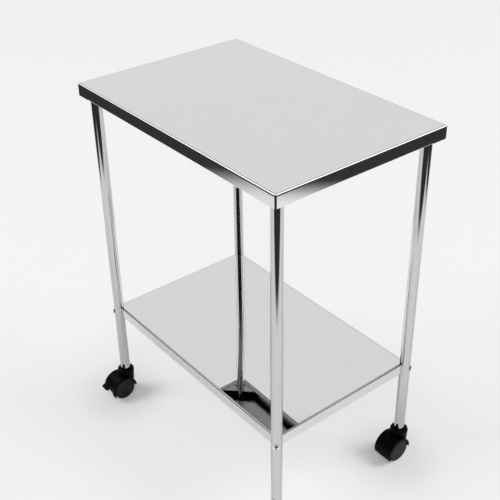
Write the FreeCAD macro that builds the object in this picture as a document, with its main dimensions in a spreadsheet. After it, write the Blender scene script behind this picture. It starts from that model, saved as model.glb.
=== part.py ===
import FreeCAD, Part
import os
import re
import Sketcher

# Hospital auxiliary table: two polished sheet steel trays on four round legs with twin wheel casters.
# Millimetres, Z up. The origin is on the floor under the middle of the table, X runs along its length.
# The front of the table faces -Y, and right is +X.

SIZES = [
    ("table_length", 600, "outside length of the top tray"),
    ("table_width", 395, "outside width of the top tray"),
    ("table_height", 780, "floor to the upper face of the top tray"),
    ("shelf_drop", 530, "upper face of the top tray down to that of the lower shelf"),
    ("sheet_gauge", 1.2, "thickness of the tray sheet"),
    ("apron_height", 25, "height of the folded sides of both trays"),
    ("return_flange", 12, "width of the flange that is folded in under the apron"),
    ("flange_relief", 37, "distance from a corner of the top tray at which its flanges start"),
    ("corner_radius", 4, "outside radius of the upright corners"),
    ("upper_bend", 3.5, "outside radius of the bend from tray face to apron"),
    ("lower_bend", 1.5, "outside radius of the bend from apron to flange"),
    ("leg_inset", 24.5, "outer face of the top apron to the axis of a leg"),
    ("leg_diameter", 22.2, "outside diameter of the leg tube"),
    ("leg_wall", 1.2, "wall of the leg tube"),
    ("tube_clearance", 0.3, "gap round a leg in its gusset and in the shelf"),
    ("gusset_reach", 83, "outer corner to the end of the gusset along each side"),
    ("gusset_gauge", 1.5, "thickness of the corner gusset"),
    ("gusset_tip", 5, "width of the blunted tips of the gusset"),
    ("collar_wall", 1.6, "wall of the collar under the gusset"),
    ("collar_depth", 6, "height of the collar under the gusset"),
    ("collar_flare", 3, "radius from collar to gusset"),
    ("shelf_overhang", 1, "outer face of the lower shelf beyond the leg axes"),
    ("saddle_gauge", 2, "thickness of the saddle that holds a leg to the lower shelf"),
    ("saddle_wing", 16, "length of each saddle wing along the apron"),
    ("bolt_drop", 15, "upper face of the lower shelf to the bolt axis"),
    ("bolt_diameter", 6, "shank of the shelf bolt"),
    ("bolt_flange", 13.6, "diameter of the flange under the domed head"),
    ("bolt_flange_height", 0.9, "height of that flange"),
    ("bolt_head", 10.5, "diameter of the domed head"),
    ("bolt_head_height", 3.3, "height of the domed head with its flange"),
    ("bolt_crown", 2.2, "radius round the top of the domed head"),
    ("socket_flats", 4, "width across flats of the socket in the head"),
    ("socket_depth", 2, "depth of that socket"),
    ("bolt_clearance", 0.25, "gap round the bolt in its holes"),
    ("bolt_tail", 2.5, "length of bolt beyond its nut"),
    ("nut_flats", 10, "width across flats of the nut"),
    ("nut_height", 5, "height of the nut"),
    ("caster_height", 72, "floor to the lower end of a leg"),
    ("insert_flange", 1.5, "flange of the plug under the end of the tube"),
    ("insert_depth", 36, "length of the plug inside the tube"),
    ("insert_fit", 0.2, "gap between plug and tube"),
    ("stem_diameter", 11, "diameter of the caster stem"),
    ("stem_rise", 30, "length of the stem above the end of the tube"),
    ("stem_fit", 0.06, "running gap between stem and hood"),
    ("stem_seat", 46, "height of the bottom of the stem bore above the floor"),
    ("stem_end_gap", 0.4, "gap under the end of the stem"),
    ("washer_thickness", 1, "thickness of the swivel washer"),
    ("swivel_gap", 0.3, "gap between the washer and the plug"),
    ("recess_gap", 0.9, "gap round the tube plug in the neck of the hood"),
    ("wheel_diameter", 52, "diameter over the tread"),
    ("axle_trail", 18, "swivel axis to the axle"),
    ("axle_diameter", 6, "diameter of the axle"),
    ("axle_fit", 0.08, "running gap between axle and wheel"),
    ("hood_width", 45, "width of the hood over both wheels"),
    ("hood_wall", 3.5, "wall of the hood over the wheels"),
    ("hood_round", 1.5, "radius of the outer rims of the hood"),
    ("wheel_gap", 1.5, "gap between the tread and the hood"),
    ("web_thickness", 11, "web of the hood between the wheels"),
    ("web_gap", 0.5, "gap between the web and a wheel"),
    ("wheel_setback", 0.6, "face of a wheel inside the end of the hood"),
    ("tail_height", 13, "lower edge of the hood at its back"),
    ("lip_height", 26.5, "lower edge of the hood at its front"),
    ("neck_diameter", 38, "largest diameter of the neck of the hood"),
    ("neck_taper", 1.7, "how much smaller the neck's radius is at its foot"),
    ("neck_foot", 38, "height of the foot of the neck above the floor"),
    ("neck_under", 12, "height of the cone under the foot of the neck"),
    ("neck_lean", 7, "how much that cone narrows"),
    ("neck_round", 6, "radius round the top of the neck"),
    ("tread_depth", 4, "depth of the tread on its wheel"),
    ("tread_round", 1.8, "radius of the shoulders of the tread"),
    ("hub_diameter", 15, "diameter of the wheel hub"),
    ("rim_wall", 2.4, "wall of the wheel rim under the tread"),
    ("face_wall", 3, "thickness of the outer face of the wheel"),
    ("face_crown", 0.5, "how far the face of the wheel bulges"),
    ("face_step", 0.8, "depth of the step round the face of the wheel"),
    ("rib_count", 6, "ribs behind the face of a wheel"),
    ("rib_thickness", 2, "thickness of those ribs"),
    ("pin_back", 9, "axle back to the brake pin"),
    ("pin_rise", 18.5, "axle up to the brake pin"),
    ("pin_diameter", 2.5, "diameter of the brake pin"),
    ("pin_fit", 0.08, "running gap between the brake pin and the pedal"),
    ("pedal_width", 6, "width of the brake pedal between the cheeks of the web"),
    ("pedal_gap", 0.3, "gap between the pedal and each cheek"),
    ("pedal_thickness", 3, "thickness of the pedal"),
    ("pedal_setback", 0.5, "face of the pedal inside the face of the hood"),
    ("pedal_boss", 6.4, "diameter of the pedal's boss round its pin"),
    ("pedal_top", 45, "angle above the axle at which the curved face of the pedal starts"),
    ("pedal_foot", 3, "angle above the axle at which that face ends"),
    ("tab_width", 21, "width of the tab that a foot presses"),
    ("tab_root", 25.5, "axle back to the root of the tab's neck, inside the pedal's face"),
    ("tab_start", 31.5, "axle back to the start of the tab"),
    ("tab_reach", 44.3, "axle back to the tip of the tab"),
    ("tab_rise", 18.5, "upper face of the tab above the axle"),
    ("tab_fall", 4, "how far the tab slopes down to its tip"),
    ("slot_depth", 13, "axle back to the bottom of the pedal's slot"),
    ("slot_gap", 1.6, "gap round the boss in the slot"),
    ("notch_width", 25, "width of the notch in the back of a hood with a brake"),
    ("notch_top", 35, "upper edge of that notch above the floor"),
]

CORNERS = {
    "front_left": (-1, -1),
    "front_right": (1, -1),
    "back_right": (1, 1),
    "back_left": (-1, 1),
}
QUARTER_TURNS = {"back_right": 0, "back_left": 90, "front_left": 180, "front_right": 270}
BRAKED = ("front_left", "front_right")

doc = FreeCAD.newDocument("auxiliary_table")
sheet = doc.addObject("Spreadsheet::Sheet", "sizes")
for row, (alias, number, meaning) in enumerate(SIZES, start=1):
    sheet.set(f"A{row}", str(number))
    sheet.setAlias(f"A{row}", alias)
    sheet.set(f"B{row}", meaning)
doc.recompute()

# Sizes that follow from others, each written once as a formula.
DERIVED = {
    "leg_x": "(table_length / 2 - leg_inset)",
    "leg_y": "(table_width / 2 - leg_inset)",
    "leg_radius": "(leg_diameter / 2)",
    "leg_length": "(table_height - sheet_gauge - caster_height)",
    "leg_hole": "(leg_diameter / 2 + tube_clearance)",
    "collar_radius": "(leg_diameter / 2 + tube_clearance + collar_wall)",
    "shelf_height": "(table_height - shelf_drop)",
    "bolt_height": "(table_height - shelf_drop - bolt_drop)",
    "bolt_hole": "(bolt_diameter / 2 + bolt_clearance)",
    "saddle_radius": "(leg_diameter / 2 + tube_clearance)",
    "saddle_back": "(leg_diameter / 2 + tube_clearance + saddle_gauge)",
    "apron_line": "(sheet_gauge - shelf_overhang)",
    "wheel_radius": "(wheel_diameter / 2)",
    "well_radius": "(wheel_diameter / 2 + wheel_gap)",
    "hood_radius": "(wheel_diameter / 2 + wheel_gap + hood_wall)",
    "wheel_start": "(web_thickness / 2 + web_gap)",
    "wheel_end": "(hood_width / 2 - wheel_setback - face_crown)",
    "tread_seat": "(wheel_diameter / 2 - tread_depth)",
    "washer_floor": "(caster_height - insert_flange - swivel_gap - washer_thickness)",
    "pin_y": "(-axle_trail - pin_back)",
    "pin_z": "(wheel_diameter / 2 + pin_rise)",
    "pedal_radius": "(wheel_diameter / 2 + wheel_gap + hood_wall - pedal_setback)",
}


def formula(text):
    """Write out a formula so that each size in it is looked up in the list of sizes."""
    text = str(text)
    for name, meaning in DERIVED.items():
        text = re.sub(rf"\b{name}\b", meaning, text)
    for alias, number, meaning in SIZES:
        text = re.sub(rf"\b{alias}\b", f"sizes.{alias}", text)
    return text


def bind(item, **sizes):
    """Make properties of an object follow formulas of the sizes."""
    for name, text in sizes.items():
        item.setExpression(name, formula(text))
    return item


def place(item, x="0", y="0", z="0", turn="0", axis=(0, 0, 1)):
    """Make an object's place, and its turn about one axis, follow formulas of the sizes."""
    item.Placement = FreeCAD.Placement(FreeCAD.Vector(), FreeCAD.Rotation(FreeCAD.Vector(*axis), 1))
    for name, text in (("x", x), ("y", y), ("z", z)):
        item.setExpression(f"Placement.Base.{name}", formula(text))
    item.setExpression("Placement.Rotation.Angle", formula(turn))
    return item


def new_body(label):
    body = doc.addObject("PartDesign::Body", label)
    body.Label = label
    return body


def origin_item(body, role):
    return next(item for item in body.Origin.OriginFeatures if item.Role == role)


def new_sketch(body, name, plane, lift="0"):
    sketch = body.newObject("Sketcher::SketchObject", name)
    sketch.AttachmentSupport = (origin_item(body, plane), [""])
    sketch.MapMode = "FlatFace"
    sketch.setExpression("AttachmentOffset.Base.z", formula(lift))
    return sketch


def outline(sketch, corners):
    """Draw a closed outline of straight lines whose corners are pairs of formulas."""
    count = len(corners)
    start = Part.makeCircle(1).discretize(count + 1)
    first = sketch.GeometryCount
    for index in range(count):
        sketch.addGeometry(Part.LineSegment(start[index], start[index + 1]), False)
    for index in range(count):
        following = (index + 1) % count
        sketch.addConstraint(Sketcher.Constraint("Coincident", first + index, 2, first + following, 1))
    for index, pair in enumerate(corners):
        for kind, text in zip(("DistanceX", "DistanceY"), pair):
            number = sketch.addConstraint(Sketcher.Constraint(kind, -1, 1, first + index, 1, 1.0))
            sketch.setExpression(f"Constraints[{number}]", formula(text))


def circle(sketch, radius, x="0", y="0"):
    """Draw a circle whose radius and centre are formulas."""
    centre = FreeCAD.Vector(1, 1, 0)
    index = sketch.addGeometry(Part.Circle(centre, FreeCAD.Vector(0, 0, 1), 1), False)
    number = sketch.addConstraint(Sketcher.Constraint("Radius", index, 1.0))
    sketch.setExpression(f"Constraints[{number}]", formula(radius))
    for kind, text in (("DistanceX", x), ("DistanceY", y)):
        number = sketch.addConstraint(Sketcher.Constraint(kind, -1, 1, index, 3, 1.0))
        sketch.setExpression(f"Constraints[{number}]", formula(text))


def rectangle(sketch, half_x, half_y):
    """Draw a rectangle about the sketch's origin."""
    outline(sketch, [
        (f"-({half_x})", f"-({half_y})"),
        (half_x, f"-({half_y})"),
        (half_x, half_y),
        (f"-({half_x})", half_y),
    ])


def hexagon(sketch, flats):
    """Draw a hexagon about the sketch's origin, given its width across flats."""
    half_side = f"{flats} / 2 * tan(30)"
    outline(sketch, [
        (f"{flats} / 2", f"-{half_side}"),
        (f"{flats} / 2", half_side),
        ("0", f"{flats} / 2 / cos(30)"),
        (f"-{flats} / 2", half_side),
        (f"-{flats} / 2", f"-{half_side}"),
        ("0", f"-{flats} / 2 / cos(30)"),
    ])


def pad(body, name, sketch, length, symmetric=False, backwards=False):
    feature = body.newObject("PartDesign::Pad", name)
    feature.Profile = sketch
    feature.SideType = "Symmetric" if symmetric else "One side"
    feature.Reversed = backwards
    return bind(feature, Length=length)


def pocket(body, name, sketch, length, symmetric=False, backwards=False):
    """Cut a pocket; backwards cuts along the sketch's normal."""
    doc.recompute()
    before = body.Shape.Volume
    feature = body.newObject("PartDesign::Pocket", name)
    feature.Profile = sketch
    feature.SideType = "Symmetric" if symmetric else "One side"
    feature.Reversed = backwards
    bind(feature, Length=length)
    doc.recompute()
    if body.Shape.Volume >= before:
        raise RuntimeError(f"{body.Label}: {name} removes nothing")
    return feature


def revolve(body, name, sketch, axis):
    feature = body.newObject("PartDesign::Revolution", name)
    feature.Profile = sketch
    feature.ReferenceAxis = (sketch, [axis])
    feature.Angle = 360
    return feature


def round_edges(body, name, base, radius, wanted):
    """Fillet the edges of a feature that pass a test."""
    doc.recompute()
    names = [f"Edge{number}" for number, edge in enumerate(base.Shape.Edges, start=1) if wanted(edge)]
    feature = body.newObject("PartDesign::Fillet", name)
    feature.Base = (base, names)
    return bind(feature, Radius=radius)


def is_upright(edge):
    box = edge.BoundBox
    return box.ZLength > 0.9 * edge.Length


def level_edges(base, top):
    """A test for the edges that lie flat at a shape's top or bottom."""
    doc.recompute()
    level = base.Shape.BoundBox.ZMax if top else base.Shape.BoundBox.ZMin
    return lambda edge: abs(edge.BoundBox.ZMin - level) < 1e-4 and abs(edge.BoundBox.ZMax - level) < 1e-4


def part(kind, name, **sizes):
    return bind(doc.addObject(f"Part::{kind}", name), **sizes)


def cut(name, base, tool):
    result = doc.addObject("Part::Cut", name)
    result.Base = base
    result.Tool = tool
    return result


def fuse(name, pieces):
    result = doc.addObject("Part::MultiFuse", name)
    result.Shapes = pieces
    return result


def tray_block(label, half_x, half_y, top, bottom, inset):
    """A block with the rounded corners and bends of a tray, drawn smaller all round by an inset."""
    body = new_body(label)
    sketch = new_sketch(body, f"{label}_plan", "XY_Plane", f"-({top})")
    rectangle(sketch, f"{half_x} - {inset}", f"{half_y} - {inset}")
    block = pad(body, f"{label}_pad", sketch, f"{bottom} - ({top})", backwards=True)
    corners = round_edges(body, f"{label}_corners", block, f"corner_radius - {inset}", is_upright)
    upper_test = level_edges(corners, True)
    upper = round_edges(body, f"{label}_upper_bend", corners, f"upper_bend - {inset}", upper_test)
    lower_test = level_edges(upper, False)
    round_edges(body, f"{label}_lower_bend", upper, f"lower_bend - {inset}", lower_test)
    return body


def tray(label, half_x, half_y, height):
    """An upturned tray: flat face, aprons folded down and flanges folded in. Its face is at z = 0."""
    outside = tray_block(f"{label}_outside", half_x, half_y, "0", "apron_height", "0")
    hollow_bottom = "apron_height - sheet_gauge"
    hollow = tray_block(f"{label}_hollow", half_x, half_y, "sheet_gauge", hollow_bottom, "sheet_gauge")
    shell = cut(f"{label}_shell", outside, hollow)
    mouth = part(
        "Box", f"{label}_mouth",
        Length=f"2 * ({half_x} - return_flange)",
        Width=f"2 * ({half_y} - return_flange)",
        Height="apron_height / 2",
    )
    place(mouth, f"return_flange - {half_x}", f"return_flange - {half_y}", "-apron_height - 1")
    folded = cut(f"{label}_folded", shell, mouth)
    return folded, height


def corner_boxes(label, half_x, half_y, size, inset):
    """Four square boxes inside a tray's corners, through its flanges."""
    boxes = []
    for corner, (side_x, side_y) in CORNERS.items():
        box = part("Box", f"{label}_{corner}", Length=f"{size} - {inset}", Width=f"{size} - {inset}",
                   Height="sheet_gauge + 1")
        x = f"{half_x} - {size}" if side_x > 0 else f"{inset} - {half_x}"
        y = f"{half_y} - {size}" if side_y > 0 else f"{inset} - {half_y}"
        boxes.append(place(box, x, y, "-apron_height - 1"))
    return fuse(label, boxes)


def top_shelf():
    """The top tray. Its flanges stop short of the corners, where the gussets are."""
    half_x, half_y = "table_length / 2", "table_width / 2"
    folded, height = tray("top_tray", half_x, half_y, "table_height")
    reliefs = corner_boxes("flange_reliefs", half_x, half_y, "flange_relief", "sheet_gauge")
    return place(cut("top_shelf", folded, reliefs), z=height)


def lower_shelf():
    """The lower tray, notched at each corner so that it grips between the legs."""
    folded, height = tray("lower_tray", "(leg_x + shelf_overhang)", "(leg_y + shelf_overhang)", "shelf_height")
    notches = []
    for corner, (side_x, side_y) in CORNERS.items():
        notch = part("Cylinder", f"notch_{corner}", Radius="leg_hole", Height="apron_height + 2")
        notches.append(place(notch, f"{side_x} * leg_x", f"{side_y} * leg_y", "-apron_height - 1"))
    return place(cut("lower_shelf", folded, fuse("shelf_notches", notches)), z=height)


def top_gusset(corner):
    """A welded corner plate inside the top tray, with a flared collar that holds the leg."""
    side_x, side_y = CORNERS[corner]
    body = new_body(f"top_gusset_{corner}")
    plate_plan = new_sketch(body, f"gusset_plan_{corner}", "XY_Plane")
    end = "(gusset_reach - gusset_tip)"
    outline(plate_plan, [
        ("-lower_bend - corner_radius", "-lower_bend"),
        (f"-{end}", "-lower_bend"),
        (f"-{end}", "-lower_bend - gusset_tip"),
        ("-lower_bend - gusset_tip", f"-{end}"),
        ("-lower_bend", f"-{end}"),
        ("-lower_bend", "-lower_bend - corner_radius"),
    ])
    plate = pad(body, f"gusset_plate_{corner}", plate_plan, "gusset_gauge")
    collar_plan = new_sketch(body, f"collar_plan_{corner}", "XY_Plane")
    circle(collar_plan, "collar_radius", "-leg_inset", "-leg_inset")
    collar = pad(body, f"collar_{corner}", collar_plan, "collar_depth", backwards=True)
    doc.recompute()
    plate_level = plate.Shape.BoundBox.ZMin
    def is_root(edge):
        box = edge.BoundBox
        return len(edge.Vertexes) == 1 and abs(box.ZMin - plate_level) < 1e-4 and abs(box.ZMax - plate_level) < 1e-4
    flare = round_edges(body, f"flare_{corner}", collar, "collar_flare", is_root)
    bore_plan = new_sketch(body, f"bore_plan_{corner}", "XY_Plane")
    circle(bore_plan, "leg_hole", "-leg_inset", "-leg_inset")
    pocket(body, f"bore_{corner}", bore_plan, "4 * (collar_depth + gusset_gauge)", symmetric=True)
    outer_x = {1: "table_length / 2", -1: "-table_length / 2"}[side_x]
    outer_y = {1: "table_width / 2", -1: "-table_width / 2"}[side_y]
    level = "table_height - apron_height + sheet_gauge"
    return place(body, outer_x, outer_y, level, turn=QUARTER_TURNS[corner])


def shelf_saddle(corner):
    """A curved plate inside a corner of the lower shelf that hugs the leg and takes the bolt."""
    side_x, side_y = CORNERS[corner]
    height = "apron_height - upper_bend - lower_bend"
    level = "(shelf_height - apron_height + lower_bend)"
    outer = part("Cylinder", f"saddle_back_{corner}", Radius="saddle_back", Height=height)
    inner = part("Cylinder", f"saddle_face_{corner}", Radius="saddle_radius", Height=height)
    quadrant = part("Box", f"saddle_quadrant_{corner}", Length="saddle_back", Width="saddle_back", Height=height)
    place(quadrant, "-saddle_back - apron_line", "-saddle_back - apron_line")
    curve = doc.addObject("Part::Common", f"saddle_curve_{corner}")
    curve.Base = cut(f"saddle_ring_{corner}", outer, inner)
    curve.Tool = quadrant
    wing_length = "(saddle_wing + saddle_gauge)"
    wing_x = part("Box", f"saddle_wing_x_{corner}", Length=wing_length, Width="saddle_gauge", Height=height)
    place(wing_x, f"-saddle_radius - {wing_length}", "-apron_line - saddle_gauge")
    wing_y = part("Box", f"saddle_wing_y_{corner}", Length="saddle_gauge", Width=wing_length, Height=height)
    place(wing_y, "-apron_line - saddle_gauge", f"-saddle_radius - {wing_length}")
    plate = fuse(f"saddle_plate_{corner}", [curve, wing_x, wing_y])
    hole = part("Cylinder", f"saddle_hole_{corner}", Radius="bolt_hole", Height="2 * saddle_back")
    place(hole, z=f"bolt_height - {level}", turn="90", axis=(1, -1, 0))
    saddle = cut(f"shelf_saddle_{corner}", plate, hole)
    return place(saddle, f"{side_x} * leg_x", f"{side_y} * leg_y", level, turn=QUARTER_TURNS[corner])


def on_diagonal(item, corner, z="0"):
    """Put a piece on a leg's axis with its own X axis pointing out of the table's corner."""
    side_x, side_y = CORNERS[corner]
    return place(item, f"{side_x} * leg_x", f"{side_y} * leg_y", z, turn=QUARTER_TURNS[corner] + 45)


def leg(corner):
    """A round tube from the caster up to the underside of the top tray, drilled for the shelf bolt."""
    body = new_body(f"leg_{corner}")
    ring = new_sketch(body, f"leg_ring_{corner}", "XY_Plane")
    circle(ring, "leg_radius")
    circle(ring, "leg_radius - leg_wall")
    pad(body, f"leg_tube_{corner}", ring, "leg_length")
    hole = new_sketch(body, f"leg_hole_{corner}", "YZ_Plane")
    circle(hole, "bolt_hole", "0", "bolt_height - caster_height")
    pocket(body, f"leg_drilling_{corner}", hole, "2 * leg_diameter", symmetric=True)
    return on_diagonal(body, corner, "caster_height")


def shelf_bolt(corner):
    """A bolt with a flanged domed head and a hexagon socket that runs through a leg and its saddle."""
    body = new_body(f"bolt_{corner}")
    tail = "-(saddle_back + nut_height + bolt_tail)"
    profile = new_sketch(body, f"bolt_profile_{corner}", "XY_Plane")
    outline(profile, [
        (tail, "0"),
        (tail, "bolt_diameter / 2"),
        ("leg_radius", "bolt_diameter / 2"),
        ("leg_radius", "bolt_flange / 2"),
        ("leg_radius + bolt_flange_height", "bolt_flange / 2"),
        ("leg_radius + bolt_flange_height", "bolt_head / 2"),
        ("leg_radius + bolt_head_height", "bolt_head / 2"),
        ("leg_radius + bolt_head_height", "0"),
    ])
    shank = revolve(body, f"bolt_turned_{corner}", profile, "H_Axis")
    doc.recompute()
    crown = shank.Shape.BoundBox.XMax
    is_crown = lambda edge: abs(edge.BoundBox.XMin - crown) < 1e-4 and edge.BoundBox.YLength > 1
    round_edges(body, f"bolt_dome_{corner}", shank, "bolt_crown", is_crown)
    socket = new_sketch(body, f"socket_plan_{corner}", "YZ_Plane", "leg_radius + bolt_head_height")
    hexagon(socket, "socket_flats")
    pocket(body, f"socket_{corner}", socket, "socket_depth")
    return on_diagonal(body, corner, "bolt_height")


def shelf_nut(corner):
    """A hexagon nut behind the saddle."""
    body = new_body(f"nut_{corner}")
    plan = new_sketch(body, f"nut_plan_{corner}", "YZ_Plane", "-saddle_back - nut_height")
    hexagon(plan, "nut_flats")
    circle(plan, "bolt_hole")
    pad(body, f"nut_pad_{corner}", plan, "nut_height")
    return on_diagonal(body, corner, "bolt_height")


def fastener_group(label, pieces):
    """Like fasteners kept together as one named group of separate solids."""
    group = doc.addObject("Part::Compound", label)
    group.Links = pieces
    return group


def at_leg(item, corner, z="0", x_offset="0", y_offset="0", turn="0"):
    side_x, side_y = CORNERS[corner]
    return place(item, f"{side_x} * leg_x + {x_offset}", f"{side_y} * leg_y + {y_offset}", z, turn=turn)


def tube_insert(corner):
    """A moulded plug that closes the tube and holds the caster stem."""
    body = new_body(f"tube_insert_{corner}")
    profile = new_sketch(body, f"insert_profile_{corner}", "XZ_Plane")
    bore = "stem_diameter / 2 + insert_fit"
    plug = "leg_radius - leg_wall - insert_fit"
    outline(profile, [
        (bore, "-insert_flange"),
        ("leg_radius", "-insert_flange"),
        ("leg_radius", "0"),
        (plug, "0"),
        (plug, "insert_depth - 2"),
        (f"{plug} - 1.5", "insert_depth"),
        (bore, "insert_depth"),
    ])
    revolve(body, f"insert_moulding_{corner}", profile, "V_Axis")
    return at_leg(body, corner, "caster_height")


def caster_stem(corner):
    """The steel stem on which a caster swivels, with a grip groove near its top."""
    body = new_body(f"caster_stem_{corner}")
    profile = new_sketch(body, f"stem_profile_{corner}", "XZ_Plane")
    foot = "(stem_seat + stem_end_gap - caster_height)"
    radius = "stem_diameter / 2"
    outline(profile, [
        ("0", foot),
        (f"{radius} - 0.8", foot),
        (radius, f"{foot} + 0.8"),
        (radius, "stem_rise - 7"),
        (f"{radius} - 0.8", "stem_rise - 7"),
        (f"{radius} - 0.8", "stem_rise - 5"),
        (radius, "stem_rise - 5"),
        (radius, "stem_rise - 1.5"),
        (f"{radius} - 1.5", "stem_rise"),
        ("0", "stem_rise"),
    ])
    revolve(body, f"stem_turned_{corner}", profile, "V_Axis")
    return at_leg(body, corner, "caster_height")


def swivel_washer(corner):
    """The bearing washer in the neck of a hood."""
    body = new_body(f"swivel_washer_{corner}")
    ring = new_sketch(body, f"washer_ring_{corner}", "XY_Plane")
    circle(ring, "leg_radius")
    circle(ring, "stem_diameter / 2 + stem_fit")
    pad(body, f"washer_pad_{corner}", ring, "washer_thickness")
    return at_leg(body, corner, "washer_floor")


def caster_hood(corner):
    """The moulded caster body: a drum over both wheels, a web between them and a round neck."""
    body = new_body(f"caster_hood_{corner}")
    side = new_sketch(body, f"hood_side_{corner}", "YZ_Plane")
    circle(side, "hood_radius", "-axle_trail", "wheel_radius")
    drum = pad(body, f"hood_drum_{corner}", side, "hood_width", symmetric=True)
    is_rim = lambda edge: edge.BoundBox.XLength < 1e-4
    round_edges(body, f"hood_rims_{corner}", drum, "hood_round", is_rim)
    neck_profile = new_sketch(body, f"neck_profile_{corner}", "XZ_Plane")
    outline(neck_profile, [
        ("0", "neck_foot - neck_under"),
        ("neck_diameter / 2 - neck_taper - neck_lean", "neck_foot - neck_under"),
        ("neck_diameter / 2 - neck_taper", "neck_foot"),
        ("neck_diameter / 2", "caster_height"),
        ("0", "caster_height"),
    ])
    neck = revolve(body, f"hood_neck_{corner}", neck_profile, "V_Axis")
    is_shoulder = level_edges(neck, True)
    round_edges(body, f"neck_shoulder_{corner}", neck, "neck_round", is_shoulder)
    mouth = new_sketch(body, f"hood_mouth_plan_{corner}", "YZ_Plane")
    slope = "((lip_height - tail_height) / (2 * hood_radius))"
    outline(mouth, [
        ("-axle_trail - 2 * hood_radius", f"tail_height - {slope} * hood_radius"),
        ("-axle_trail - 2 * hood_radius", "-hood_radius"),
        ("-axle_trail + 3 * hood_radius", "-hood_radius"),
        ("-axle_trail + 3 * hood_radius", f"lip_height + {slope} * 2 * hood_radius"),
    ])
    pocket(body, f"hood_mouth_{corner}", mouth, "2 * hood_width", symmetric=True)
    for side_name, lift, outward in (("left", "-web_thickness / 2", False), ("right", "web_thickness / 2", True)):
        well = new_sketch(body, f"well_plan_{side_name}_{corner}", "YZ_Plane", lift)
        circle(well, "well_radius", "-axle_trail", "wheel_radius")
        pocket(body, f"well_{side_name}_{corner}", well, "hood_width", backwards=outward)
    axle_hole = new_sketch(body, f"axle_hole_plan_{corner}", "YZ_Plane")
    circle(axle_hole, "axle_diameter / 2", "-axle_trail", "wheel_radius")
    pocket(body, f"axle_hole_{corner}", axle_hole, "2 * web_thickness", symmetric=True)
    if corner in BRAKED:
        brake_slots(body, corner)
    recess = new_sketch(body, f"recess_plan_{corner}", "XY_Plane", "caster_height")
    circle(recess, "leg_radius + recess_gap")
    pocket(body, f"recess_{corner}", recess, "caster_height - washer_floor")
    bore = new_sketch(body, f"stem_bore_plan_{corner}", "XY_Plane", "caster_height")
    circle(bore, "stem_diameter / 2 + stem_fit")
    pocket(body, f"stem_bore_{corner}", bore, "caster_height - stem_seat")
    return at_leg(body, corner)


def brake_slots(body, corner):
    """The slot in the web for the brake pedal, its pin hole, and the notch for the tab behind the wheels."""
    slot = new_sketch(body, f"pedal_slot_plan_{corner}", "YZ_Plane")
    clear = "(pedal_boss / 2 + slot_gap)"
    outline(slot, [
        ("-axle_trail - slot_depth", "-hood_radius"),
        ("-axle_trail - 3 * hood_radius", "-hood_radius"),
        ("-axle_trail - 3 * hood_radius", f"pin_z + {clear}"),
        (f"pin_y + {clear}", f"pin_z + {clear}"),
        (f"pin_y + {clear}", f"pin_z - {clear}"),
        ("-axle_trail - slot_depth", f"pin_z - {clear} - slot_depth / 2"),
    ])
    pocket(body, f"pedal_slot_{corner}", slot, "pedal_width + 2 * pedal_gap", symmetric=True)
    pin_hole = new_sketch(body, f"pin_hole_plan_{corner}", "YZ_Plane")
    circle(pin_hole, "pin_diameter / 2", "pin_y", "pin_z")
    pocket(body, f"pin_hole_{corner}", pin_hole, "2 * web_thickness", symmetric=True)
    notch = new_sketch(body, f"tab_notch_plan_{corner}", "YZ_Plane")
    inner = "-axle_trail - wheel_radius + wheel_gap"
    outline(notch, [
        (inner, "-hood_radius"),
        ("-axle_trail - 3 * hood_radius", "-hood_radius"),
        ("-axle_trail - 3 * hood_radius", "notch_top"),
        (inner, "notch_top"),
    ])
    pocket(body, f"tab_notch_{corner}", notch, "notch_width", symmetric=True)


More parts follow.
